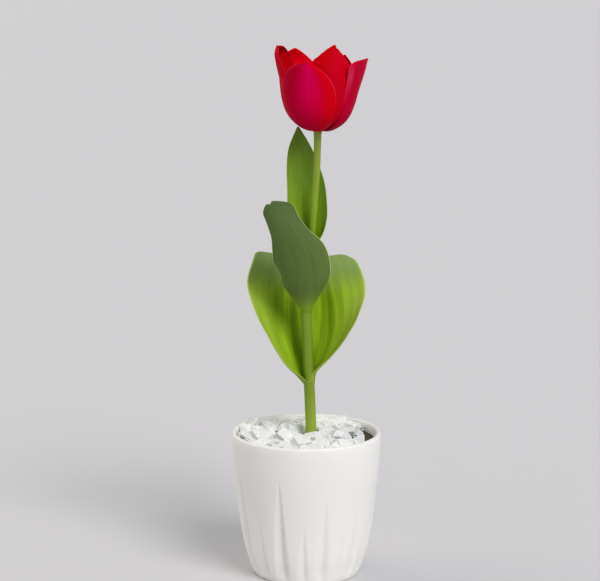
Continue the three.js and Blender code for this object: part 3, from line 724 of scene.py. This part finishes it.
# Round the stem's line and then up the bloom's axis, the radius times 1 + ribHeight cos(ribs turn).
def makeStem():
    line = curveThrough(stem["line"], np.linspace(0, 1, stem["rows"] + 1))
    keys, radii = np.array(stem["radius"]).T
    radius = np.interp(line[:, 2], keys, radii)
    kept = line[:, 2] < bloom["base"][2] - stem["joint"]
    top = np.array(stem["receptacle"])
    centres = np.vstack([line[kept], inBloom([[0, 0, z] for z, _ in top])])
    radius = np.concatenate([radius[kept], top[:, 1]])
    turn = 2 * np.pi * np.arange(stem["sides"]) / stem["sides"]
    ribs = 1 + stem["ribHeight"] * np.cos(stem["ribs"] * turn)
    grid = rodAlong(centres, radius[:, None] * ribs, stem["sides"])
    points, faces = skinOver(grid, "point")
    addPiece("stem_green", points, faces, stemFinish(), "stalk", ["stem"])


makeStem()


# Leaves: line is [x, y, z] from base to tip, left and right are half widths along the arc, and curl is the
# half angle of the arc. Every list is spread evenly over the leaf. The hollow side faces the azimuth named
# face.

leaves = {
    "lower_leaf": {
        "face": 0, "tipLength": 9, "thickness": 0.95, "waves": 2.5, "waveHeight": 0.9, "veins": 15,
        "line": [[2.8, 3.88, 134.2], [2.1, 5.6, 141], [1.2, 8, 151], [0.6, 13, 164], [0.1, 20, 179],
                 [0, 30, 195], [0, 43, 208], [0, 59, 214], [0, 76, 211], [0, 91, 200], [0, 100, 186]],
        "left": [12.2, 19.9, 31.7, 41.5, 48, 45.3, 39.6, 36.5, 29, 22, 12],
        "right": [12.2, 12.8, 30.3, 45.9, 48.8, 43.9, 37.7, 32, 25, 20, 12],
        "curl": [176, 134, 98.5, 85.6, 66.4, 37.5, 23, 9.5, 10, 10, 10],
        "roll": [-12, -8, -2, 0, 2, 0.5, 0.5, 3.5, 1, 0, 0],
    },
    "middle_leaf": {
        "face": 180, "tipLength": 5, "thickness": 0.9, "waves": 2, "waveHeight": 0.25, "veins": 9,
        "line": [[0, -3.35, 185.2], [-0.6, -7, 193], [-1.2, -11, 203], [-2, -14, 215], [-4.5, -15.5, 228],
                 [-10, -15.5, 240], [-16.5, -14, 250], [-21.5, -11, 258], [-25.8, -8, 263.6]],
        "left": [9.65, 14.5, 19, 21, 20, 14.5, 15.8, 21.4, 17.7],
        "right": [9.65, 14.5, 18, 19, 22, 17.8, 13, 14, 21.1],
        "curl": [165, 92, 62, 48, 42, 40, 40, 42, 44],
        "roll": [0, 0, 0, 0, 0, 0, 0, 0, 0],
        "notch": {"depth": 2.2, "width": 1.3, "from": 0.86},
    },
    "upper_leaf": {
        "face": 0, "tipLength": 0, "thickness": 0.85, "waves": 2, "waveHeight": 0.3, "veins": 9,
        "line": [[2.75, 2.5, 228.8], [2.6, 5, 237], [1.8, 8, 248], [1, 10.5, 260], [0.1, 12, 273],
                 [-1.4, 12, 287], [-3.6, 10.5, 300], [-5.8, 8, 313.5]],
        "left": [7.2, 11, 16, 16.4, 15.5, 13.6, 9.4, 0.7],
        "right": [7.2, 13.5, 16, 16, 14.5, 10.5, 6.7, 0.7],
        "curl": [165, 98, 72, 58, 50, 42, 35, 20],
        "roll": [0, 0, 0, 0, 0, 0, 0, 0],
    },
}
leafGrid = {
    "rows": 150, "columns": 72, "thinTo": 0.09, "tipRound": 0.6, "tipLeft": 0.03,
    "veinHeight": 0.025, "veinSway": 0.07, "sways": 7,
    "ahead": 2,  # the waves of the right edge run ahead by this, in radians, as do the veins' sways
}


# An arc across the middle line: its radius is the half width over the half angle, and a point lies radius
# sin(angle) to the side and radius (1 - cos(angle)) inwards, both turned by the roll. Veins and edge waves
# stand off it along the arc's inward direction, and a notch draws the middle of the tip back towards the
# base.
def leafSheet(leaf, share, across):
    line = curveThrough(leaf["line"], share)
    left, right, curl, roll = (curveThrough(leaf[key], share) for key in ("left", "right", "curl", "roll"))
    way = unit(np.gradient(line, axis=0))
    face = math.radians(leaf["face"])
    side = np.array([math.cos(face), math.sin(face), 0])
    sideways = unit(side - (way @ side)[:, None] * way)
    inward = np.cross(sideways, way)
    roll = np.radians(roll)
    rolled = sideways * np.cos(roll) - inward * np.sin(roll)
    inward = inward * np.cos(roll) + sideways * np.sin(roll)
    narrowing = np.ones((len(share), 1))
    if leaf["tipLength"]:
        blunt = (1 - share[:, None] ** leaf["tipLength"]) ** leafGrid["tipRound"]
        narrowing = np.maximum(blunt, leafGrid["tipLeft"])
    halfAngle = np.radians(curl)
    radius = np.where(across < 0, left, right) * narrowing / halfAngle
    swing = np.sin(np.pi * share)[:, None]
    ahead = np.where(across < 0, 0, leafGrid["ahead"])
    wave = np.sin(2 * np.pi * leaf["waves"] * share[:, None] + ahead)
    relief = leaf["waveHeight"] * wave * np.abs(across) ** 3 * swing
    sways = np.sin(leafGrid["sways"] * across + leafGrid["ahead"])
    veins = leaf["veins"] * (across + leafGrid["veinSway"] * sways)
    relief = relief + leafGrid["veinHeight"] * np.cos(2 * np.pi * veins) * swing**0.5
    outwards = np.cos(halfAngle * across)
    toSide = (radius * np.sin(halfAngle * across) - relief * np.sin(halfAngle * across))[..., None]
    toFront = (radius * (1 - outwards) + relief * outwards)[..., None]
    sheet = line[:, None] + toSide * rolled[:, None] + toFront * inward[:, None]
    if "notch" in leaf:
        late = np.clip((share - leaf["notch"]["from"]) / (1 - leaf["notch"]["from"]), 0, 1)
        near = np.exp(-((toSide[..., 0] / leaf["notch"]["width"]) ** 2))
        back = leaf["notch"]["depth"] * near * (late**2 * (3 - 2 * late))[:, None]
        sheet = sheet - back[..., None] * way[:, None]
    return sheet


leafColours = {
    "lower_leaf": {
        "slot": "leaf_light", "material": "lowerLeaf",
        "deep": paint(92, 120, 0), "light": paint(146, 180, 32), "lightStep": (0.287, 0.713),
        "margin": paint(172, 198, 76), "marginStep": (0.35, 1.0, 0.6),
        "waxy": paint(118, 142, 84), "waxStep": (0.46, 0.6, 0.85),
        "base": paint(140, 172, 22), "tip": paint(100, 128, 44),
        "edge": paint(196, 216, 120), "edgeStep": (0.965, 0.985, 0.5),
    },
    "middle_leaf": {
        "slot": "leaf_dull", "material": "middleLeaf",
        "deep": paint(78, 96, 44), "light": paint(100, 122, 60), "lightStep": (-0.033, 1.033),
        "margin": paint(112, 134, 70), "marginStep": (0.35, 1.0, 0.2),
        "waxy": paint(80, 98, 62), "waxStep": (0.3, 0.75, 0.6),
        "base": paint(132, 160, 44), "tip": paint(76, 96, 54),
        "edge": paint(190, 208, 140), "edgeStep": (0.965, 0.985, 0.85),
    },
    "upper_leaf": {
        "slot": "leaf_fresh", "material": "upperLeaf",
        "deep": paint(104, 138, 6), "light": paint(138, 172, 40), "lightStep": (0.18, 0.82),
        "margin": paint(150, 182, 60), "marginStep": (0.35, 1.0, 0.15),
        "waxy": paint(114, 144, 58), "waxStep": (0.3, 0.7, 0.6),
        "base": paint(156, 190, 18), "tip": paint(84, 106, 40),
        "edge": paint(160, 186, 90), "edgeStep": (0.965, 0.985, 0.6),
    },
}
# What all leaves share. Noises are (times across, times along, detail, roughness, distortion).
leafSkin = {
    "roughness": 0.5, "specular": 0.05, "within": (0.12, (0.6, 1.0, 0.2), 0.0015), "bump": (0.08, 0.7),
    "broad": (4.5, 1.6, 2.0, 0.5, 0.3), "streaks": (26.0, 2.2, 3.0, 0.6, 0.2), "fine": (110.0, 3.0, 2.0),
    "broadWeight": 0.72, "streakWeight": 0.28, "streakRelief": 1.5, "waxEverywhere": 0.4,
    "marginEnd": (0.62, 0.4), "baseStep": (0.26, 0.0, 0.9), "tipStep": (0.72, 1.0, 0.7),
    "sheath": stalk["sheath"], "sheathStep": (0.13, 0.03), "fineStep": (0.55, 0.75, 0.14),
}


# Streaks of two greens, then from below: a light margin beside a darker middle, which is painted light and
# shade of the leaf's fold, wax towards the tip, the colours of base and tip, the stem's green where the leaf
# clasps it, and a pale rim.
def leafFinish(name):
    look = {**leafSkin, **leafColours[name]}
    finish, tree = newFinish(look["material"], look)
    along = markNode(tree, "along")
    across = mathNode(tree, "ABSOLUTE", markNode(tree, "across"))
    broad, streaks, fine = (noiseOnBlade(tree, *look[key]) for key in ("broad", "streaks", "fine"))
    streaky = times(tree, streaks, look["streakWeight"])
    streaky = mathNode(tree, "MULTIPLY_ADD", broad, look["broadWeight"], streaky)
    colour = layer(tree, look["deep"], streaky, look, "light")
    # lighter towards the edges, darker along the middle: painted light and shade of the fold
    margin = stepNode(tree, across, *look["marginStep"])
    margin = times(tree, margin, stepNode(tree, along, *look["marginEnd"]))
    colour = mixColours(tree, margin, colour, look["margin"])
    patchy = mathNode(tree, "ADD", streaks, look["waxEverywhere"], clamp=True)
    wax = times(tree, stepNode(tree, along, *look["waxStep"]), patchy)
    colour = mixColours(tree, wax, colour, look["waxy"])
    for shade in ("base", "tip"):
        colour = layer(tree, colour, along, look, shade)
    colour = mixColours(tree, stepNode(tree, fine, *look["fineStep"]), colour, look["light"])
    colour = layer(tree, colour, along, look, "sheath")
    colour = layer(tree, colour, across, look, "edge")
    dress(tree, colour, mathNode(tree, "MULTIPLY_ADD", streaks, look["streakRelief"], fine), look)
    return finish


# Each leaf's sheet, with a front and a back
def makeLeaves():
    for name, leaf in leaves.items():
        grid, marks = bladeFrom(leafSheet, leaf, leafGrid, leaf["thickness"])
        points, faces = skinOver(grid, "zip")
        slot = leafColours[name]["slot"]
        addPiece(name + "_veined", points, faces, leafFinish(name), slot, [name], marks)


makeLeaves()


# Bloom: a tepal is the patch of a cup between two azimuths that close on each other at its tip. rise is its
# [radius, height] line above the cup. less and more shape its two edges: the half angle they span, how far up
# it stays broad, how blunt it ends, and how far the edge bends in. drift turns the tip. bite is a nick near
# the tip: where, how long and how deep. gleam is a painted highlight: across, along, and its half width and
# length there.

cups = {
    "outside": [[2.6, 0.5], [8.3, 0.8], [13.7, 3.2], [18.9, 7.4], [22.8, 13.4], [25.4, 21], [27.2, 29.5]],
    "inside": [[2.6, 2.3], [7.7, 2.6], [12.5, 4.9], [17.3, 8.7], [21, 14.4], [23.5, 21.6], [25.3, 30]],
}
tepals = {
    "tepal_outer_front": {
        "cup": "outside", "azimuth": -25, "drift": 6, "rise": [[28.6, 38], [29.4, 43.5], [29.2, 47.9]],
        "less": (56, 5, 0.68, 0), "more": (56, 5.2, 0.95, 0)},
    "tepal_outer_right": {
        "cup": "outside", "azimuth": 99, "drift": -12, "rise": [[29.3, 38], [30.6, 45], [31.2, 51.2]],
        "less": (50.5, 30, 0.35, 1.0), "more": (54, 4, 0.8, -0.5), "gleam": (-0.9, 0.72, 0.07, 0.13)},
    "tepal_outer_back": {
        "cup": "outside", "azimuth": -141, "drift": 0, "rise": [[29.2, 38], [31.2, 46], [29.8, 53.8]],
        "less": (54, 4, 0.76, -0.6), "more": (54, 4, 0.8, -0.6)},
    "tepal_inner_front": {
        "cup": "inside", "azimuth": 19, "drift": 8, "rise": [[26, 38.5], [23.8, 47.5], [17.5, 59.8]],
        "less": (54, 5, 0.72, 0.6), "more": (53, 3.7, 0.95, 1.5), "bite": (0.972, 0.007, 0.6)},
    "tepal_inner_left": {
        "cup": "inside", "azimuth": -95, "drift": 8, "rise": [[28.3, 39], [31, 47.5], [32, 52], [31.2, 56.2]],
        "less": (51, 10, 0.45, 4), "more": (52, 3.5, 1, 1.5), "paintedShade": 0.45},
    "tepal_inner_back": {
        "cup": "inside", "azimuth": 151, "drift": -14, "rise": [[25.8, 38.5], [25.2, 45.5], [23.8, 51.5]],
        "less": (52, 4, 0.85, 0.8), "more": (51, 4, 0.85, 0.8)},
}
tepalGrid = {
    "rows": 110, "columns": 56, "thickness": 0.75, "thinTo": 0.02, "crowding": 1.3, "tipAngle": 1,
    "waves": 1.5, "waveHeight": 0.3, "ahead": 2,  # edge waves, as on the leaves
    "rib": 0.12, "ribWidth": 0.05, "furrows": 7, "furrowHeight": 0.05,
    "ragged": 0.012, "raggedSteps": (37, 61, 97, 149), "raggedFrom": 0.6, "raggedTo": 0.85,
    "hug": 1.6, "hugFrom": 0.5, "hugTo": (40, 52),  # the outer tepals' edges lie on the inner ones
}


# A row at each share of the tepal's length: its azimuth runs over the half angle, angle (1 -
# share^full)^round, and its radius has edge waves, tuck and furrows added, and a low rib along the middle.
# The outer ones' edges are drawn in onto the inner ones, all edges are a little ragged towards the tip, and
# the whole bows towards -X by bow times the root of sin(pi height / bowTo).
def tepalSheet(tepal, share, across):
    line = curveThrough(cups[tepal["cup"]] + tepal["rise"], 1 - (1 - share) ** tepalGrid["crowding"])
    steps = np.linalg.norm(np.diff(line, axis=0), axis=1)
    reached = (np.concatenate([[0], np.cumsum(steps)]) / steps.sum())[:, None]
    spans = [e[0] * np.maximum(1 - reached ** e[1], 0) ** e[2] + tepalGrid["tipAngle"]
             for e in (tepal["less"], tepal["more"])]
    halfAngle = np.where(across < 0, *spans)
    ragged = sum(np.sin(n * np.pi * reached + tepal["azimuth"]) for n in tepalGrid["raggedSteps"])
    low, high = tepalGrid["raggedFrom"], tepalGrid["raggedTo"]
    late = np.clip((reached - low) / (high - low), 0, 1)
    halfAngle = halfAngle * (1 - tepalGrid["ragged"] * (1 + ragged / 2) * late)
    if "bite" in tepal:
        at, width, depth = tepal["bite"]
        nick = depth * np.exp(-(((reached - at) / width) ** 2))
        halfAngle = np.where(across < 0, halfAngle, halfAngle * (1 - nick))
    tuck = np.where(across < 0, tepal["less"][3], tepal["more"][3])
    ahead = np.where(across < 0, 0, tepalGrid["ahead"])
    wave = np.sin(2 * np.pi * tepalGrid["waves"] * reached + ahead) * np.abs(across) ** 3
    middle = np.sqrt(np.sin(np.pi * reached).clip(0))  # rounding takes it just below nothing at some tips
    furrows = tepalGrid["furrowHeight"] * np.cos(2 * np.pi * tepalGrid["furrows"] * across) * middle
    rib = tepalGrid["rib"] * np.exp(-((across / tepalGrid["ribWidth"]) ** 2)) * middle
    edges = tepalGrid["waveHeight"] * wave * reached**2 - tuck * across**2 * reached**3
    radius = line[:, :1] + edges + furrows - rib
    if tepal["cup"] == "outside":
        low, high = tepalGrid["hugTo"]
        edge = np.clip((np.abs(across) - tepalGrid["hugFrom"]) / (1 - tepalGrid["hugFrom"]), 0, 1) ** 2
        radius = radius - tepalGrid["hug"] * edge * np.clip((high - line[:, 1:]) / (high - low), 0, 1)
    azimuth = tepal["azimuth"] + tepal["drift"] * reached**3 + across * halfAngle
    points = aroundAxis(radius, azimuth, line[:, 1:])
    height = np.clip(line[:, 1:] / bloom["bowTo"], 0, 1)
    points[..., 0] -= bloom["bow"] * np.sqrt(np.sin(np.pi * height))
    return inBloom(points)


petals = {
    "outside": {
        "slot": "petal_pink", "material": "petalPink", "left": paint(187, 0, 43), "right": paint(206, 0, 18),
        "flameAt": 0.16, "flameStep": (0.6, -0.05, 1.0), "rimStep": (0.93, 0.99, 0.5),
    },
    "inside": {
        "slot": "petal_red", "material": "petalRed", "left": paint(186, 0, 10), "right": paint(196, 0, 27),
        "flameAt": 0.0, "flameStep": (0.5, -0.05, 0.1), "rimStep": (0.97, 0.99, 0.3),
    },
}
# What all petals share. Noises are as on the leaves.
petalSkin = {
    "roughness": 0.5, "specular": 0.01, "within": (0.15, (1.0, 0.15, 0.2), 0.0015), "bump": (0.1, 0.6),
    "streaks": (20.0, 1.6, 3.0, 0.6, 0.2), "fine": (95.0, 2.2, 2.0), "fineStep": (0.5, 0.8, 0.25),
    "rightStep": (-0.4, 0.7), "uneven": 0.35, "flame": paint(220, 0, 84), "flameAlong": (0.0, 0.75),
    "shade": paint(152, 0, 40), "shadeStep": (0.45, 0.1, 0.55),
    "foot": paint(138, 20, 60), "footStep": (0.14, 0.0, 0.6),
    "lining": paint(224, 0, 13), "liningStreaks": 0.4, "paintedShade": paint(122, 0, 8), "outerStep": (0.4, 0.6),
    "halo": paint(226, 190, 70), "haloStep": (0.30, 0.24),
    "blotch": paint(38, 12, 36), "blotchStep": (0.25, 0.2),
    # the rim and the gleam are painted highlights
    "rim": paint(224, 50, 86), "rimFrom": (0.4, 0.65), "rimTo": (0.97, 0.88),
    "gleam": paint(228, 60, 96), "gleamWeight": 0.6,
}


# Behind, a petal goes from one red to another, the darker one on its left partly painted shade, with a pink
# flame up its middle, painted shade towards its foot, a darker foot and a painted highlight along its rim. In
# front it is redder, with a dark blotch inside a yellow halo at its foot, and painted shade on one tepal.
def petalFinish(cup):
    look = {**petalSkin, **petals[cup]}
    finish, tree = newFinish(look["material"], look)
    along, across = markNode(tree, "along"), markNode(tree, "across")
    streaks, fine = (noiseOnBlade(tree, *look[key]) for key in ("streaks", "fine"))
    uneven = times(tree, mathNode(tree, "SUBTRACT", streaks, 0.5), look["uneven"])
    # a darker, bluer red on the left side, partly painted shade
    colour = layer(tree, look["left"], mathNode(tree, "ADD", across, uneven), look, "right")
    fromFlame = mathNode(tree, "ABSOLUTE", mathNode(tree, "SUBTRACT", across, look["flameAt"]))
    flame = stepNode(tree, mathNode(tree, "ADD", fromFlame, uneven), *look["flameStep"])
    flame = times(tree, flame, stepNode(tree, along, *look["flameAlong"]))
    colour = mixColours(tree, flame, colour, look["flame"])
    # painted shade towards the foot, then the foot's darker mauve
    for shade in ("shade", "foot"):
        colour = layer(tree, colour, along, look, shade)
    inner = mixColours(tree, times(tree, streaks, look["liningStreaks"]), look["lining"], look["left"])
    # painted shade over one tepal's lining
    inner = mixColours(tree, markNode(tree, "paintedShade"), inner, look["paintedShade"])
    for shade in ("halo", "blotch"):
        inner = layer(tree, inner, along, look, shade)
    colour = mixColours(tree, stepNode(tree, markNode(tree, "front"), *look["outerStep"]), inner, colour)
    colour = mixColours(tree, stepNode(tree, fine, *look["fineStep"]), colour, look["shade"])
    # painted highlight along the rim
    rim = stepNode(tree, mathNode(tree, "ABSOLUTE", across), *look["rimStep"])
    for step in (look["rimFrom"], look["rimTo"]):
        rim = times(tree, rim, stepNode(tree, along, *step))
    colour = mixColours(tree, rim, colour, look["rim"])
    # painted highlight at the gleam's spot
    gleam = times(tree, markNode(tree, "gleam"), look["gleamWeight"])
    colour = mixColours(tree, gleam, colour, look["gleam"])
    dress(tree, colour, mathNode(tree, "ADD", fine, streaks), look)
    return finish


# A gleam, a painted highlight, falls off as exp(-distance squared) round its spot, on one side of the tepal.
def makeTepals():
    finishes = {cup: petalFinish(cup) for cup in cups}
    for name, tepal in tepals.items():
        grid, marks = bladeFrom(tepalSheet, tepal, tepalGrid, tepalGrid["thickness"])
        # how much painted shade darkens this tepal's lining
        marks["paintedShade"] = tepal.get("paintedShade", 0)
        marks["gleam"] = 0
        if "gleam" in tepal:
            across, along, width, length = tepal["gleam"]
            off = ((marks["across"] - across) / width) ** 2 + ((marks["along"] - along) / length) ** 2
            marks["gleam"] = np.exp(-off) * marks["front"]
        points, faces = skinOver(grid, "zip")
        cup = tepal["cup"]
        addPiece(name + "_fine", points, faces, finishes[cup], petals[cup]["slot"], [name], marks)


makeTepals()


# Pistil and stamens, in the bloom's own frame

pistil = {
    "line": [[0.1, 3.7], [2.3, 3.75], [2.6, 8], [2.4, 14], [2, 18.6], [3.4, 20.4], [3.6, 22], [2.3, 23.2],
             [0.1, 23.5]],
    "rows": 90, "sides": 72, "lobes": 3, "lobe": 0.22, "corner": 0.06, "frills": 18, "frill": 0.05,
    "lobeFrom": 17.5, "lobeTo": 19.5,
}
ovary = {
    "deep": paint(150, 164, 74), "light": paint(176, 186, 92), "mottle": (300.0, 3.0), "roughness": 0.5,
    "top": paint(226, 214, 140), "topStep": (0.329, 0.332), "grain": (1500.0, 3.0), "bump": (0.2, 1.0),
}
stamens = {
    "count": 6, "first": 30, "rows": 28, "sides": 20, "grooves": 4, "groove": 0.22, "grooveEdge": 8,
    "ring": [3.0, 5.0, 3.1, 4.2],  # inner and outer radius, bottom and top
    "ringSteps": 72, "ringCorners": 12,
    "filament": [[4.1, 3.4, 0.8], [5.2, 7, 0.75], [6.6, 10.6, 0.7], [7.0, 11.8, 0.4]],
    "anther": [[6.9, 11.2, 0.5], [7.1, 12, 1.2], [7.7, 15, 1.35], [8.1, 18, 1.25], [8.3, 20.6, 0.5]],
}
pollen = {
    "deep": paint(26, 16, 32), "light": paint(66, 48, 70), "dust": (2600.0, 3.0, 0.7), "bump": (0.3, 1.0),
    "roughness": 0.85,
}


# Mottled green, and paler where its lobes are
def ovaryFinish():
    finish, tree = newFinish("pistilSkin", ovary)
    place = objectPlace(tree)
    colour = mixColours(tree, noiseNode(tree, place, *ovary["mottle"]), ovary["light"], ovary["deep"])
    colour = layer(tree, colour, heightNode(tree, place), ovary, "top")
    dress(tree, colour, noiseNode(tree, place, *ovary["grain"]), ovary)
    return finish


# Dark, with lighter dust
def pollenFinish():
    finish, tree = newFinish("darkPollen", pollen)
    dust = noiseNode(tree, objectPlace(tree), *pollen["dust"])
    dress(tree, mixColours(tree, dust, pollen["deep"], pollen["light"]), dust, pollen)
    return finish


# Round the axis at the profile's radius, times 1 + corner cos(lobes turn) low down and 1 + lobe cos(lobes
# turn) + frill cos(frills turn) above the height lobeTo.
def makePistil():
    profile = curveThrough(pistil["line"], np.linspace(0, 1, pistil["rows"] + 1))
    azimuth = np.arange(pistil["sides"]) * 360 / pistil["sides"]
    turn = np.radians(azimuth)
    low, high = pistil["lobeFrom"], pistil["lobeTo"]
    up = np.clip((profile[:, 1:] - low) / (high - low), 0, 1)
    swell = 1 + (up * pistil["lobe"] + (1 - up) * pistil["corner"]) * np.cos(pistil["lobes"] * turn)
    swell = swell + up * pistil["frill"] * np.cos(pistil["frills"] * turn)
    grid = inBloom(aroundAxis(np.abs(profile[:, :1]) * swell, azimuth, profile[:, 1:]))
    points, faces = skinOver(grid, "point")
    addPiece("pistil_lobed", points, faces, ovaryFinish(), "pistil_green", ["pistil"])


# The ring that the stamens stand on. Its cross-section is an ellipse.
def stamenRing():
    low, high, bottom, top = stamens["ring"]
    steps, corners = stamens["ringSteps"], stamens["ringCorners"]
    corner = 2 * np.pi * (np.arange(corners) + 0.5) / corners
    radius = (low + high) / 2 + (high - low) / 2 * np.cos(corner)
    height = (bottom + top) / 2 + (top - bottom) / 2 * np.sin(corner)
    azimuth = np.arange(steps) * 360 / steps
    points = inBloom(aroundAxis(radius, azimuth[:, None], height))
    index = np.arange(steps * corners).reshape(steps, corners)
    right, above = np.roll(index, -1, 0), np.roll(index, -1, 1)
    faces = np.stack([right, np.roll(right, -1, 1), above, index], -1)
    return points.reshape(-1, 3), [faces.reshape(-1, 4)]


# Each stamen is a thin rod and, on it, a thicker one with grooves: its radius times
# 1 - groove cos(grooves turn / 2)^grooveEdge.
def makeStamens():
    share = np.linspace(0, 1, stamens["rows"] + 1)
    turn = 2 * np.pi * np.arange(stamens["sides"]) / stamens["sides"]
    dips = stamens["groove"] * np.cos(stamens["grooves"] / 2 * turn) ** stamens["grooveEdge"]
    surfaces = [stamenRing()]
    for k in range(stamens["count"]):
        azimuth = stamens["first"] + 360 / stamens["count"] * k
        for part in ("filament", "anther"):
            line = curveThrough(stamens[part], share)
            centres = inBloom(aroundAxis(line[:, 0], azimuth, line[:, 1]))
            radii = line[:, 2:] * (1 - dips * (part == "anther"))
            surfaces.append(skinOver(rodAlong(centres, radii, stamens["sides"]), "point"))
    addPiece("stamens_six", *joined(surfaces), pollenFinish(), "pollen", ["stamens"])


makePistil()
makeStamens()


# Floor, light and camera, in metres

studio = {
    "floor": {"size": 60.0, "colour": paint(197, 196, 199), "roughness": 0.75},
    "air": (0.87, 0.89, 0.95, 1.0), "airStrength": 0.53,
    "key": {"azimuth": 35, "height": 43, "strength": 2.08, "spread": 30, "colour": (1.0, 0.99, 0.97)},
    "fill": {"azimuth": -122, "height": 37, "strength": 0.95, "spread": 60, "colour": (1.0, 0.9, 0.72)},
    "back": {"azimuth": 200, "height": 45, "strength": 0.15, "spread": 50, "colour": (1.0, 1.0, 1.0)},
}
viewpoint = {"place": (-0.0044, -1.4, 0.4527), "pitch": 10.2, "lens": 123.24, "sensor": 36.0}


# A square with its middle under the pot
def makeFloor():
    half = studio["floor"]["size"] / 2
    corners = [(-half, -half, 0), (half, -half, 0), (half, half, 0), (-half, half, 0)]
    mesh = bpy.data.meshes.new("floor")
    mesh.from_pydata(corners, [], [(0, 1, 2, 3)])
    finish, tree = newFinish("paleFloor", studio["floor"])
    surfaceOf(tree)["Base Color"].default_value = studio["floor"]["colour"]
    mesh.materials.append(finish)
    floor = bpy.data.objects.new("floor", mesh)
    bpy.context.scene.collection.objects.link(floor)


# A wide, far light: its azimuth and height are where it stands, and its spread is how wide it looks, in
# degrees.
def addLight(name, light):
    lamp = bpy.data.lights.new(name, "SUN")
    lamp.energy = light["strength"]
    lamp.angle = math.radians(light["spread"])
    lamp.color = light["colour"]
    holder = bpy.data.objects.new(name, lamp)
    holder.rotation_euler = (math.radians(90 - light["height"]), 0, math.radians(light["azimuth"]))
    bpy.context.scene.collection.objects.link(holder)


# Floor, lights, the air's even light, and a camera that looks along +Y, bent down by its pitch
def makeStudio():
    makeFloor()
    for name in ("key", "fill", "back"):
        addLight(name + "Light", studio[name])
    world = bpy.data.worlds.new("paleAir")
    world.use_nodes = True
    background = world.node_tree.nodes["Background"].inputs
    background["Color"].default_value = studio["air"]
    background["Strength"].default_value = studio["airStrength"]
    bpy.context.scene.world = world
    bpy.context.scene.view_settings.view_transform = "Standard"
    camera = bpy.data.cameras.new("camera")
    camera.lens = viewpoint["lens"]
    camera.sensor_width = viewpoint["sensor"]
    holder = bpy.data.objects.new("camera", camera)
    holder.location = viewpoint["place"]
    holder.rotation_euler = (math.radians(90 - viewpoint["pitch"]), 0, 0)
    bpy.context.scene.collection.objects.link(holder)
    bpy.context.scene.camera = holder


makeStudio()
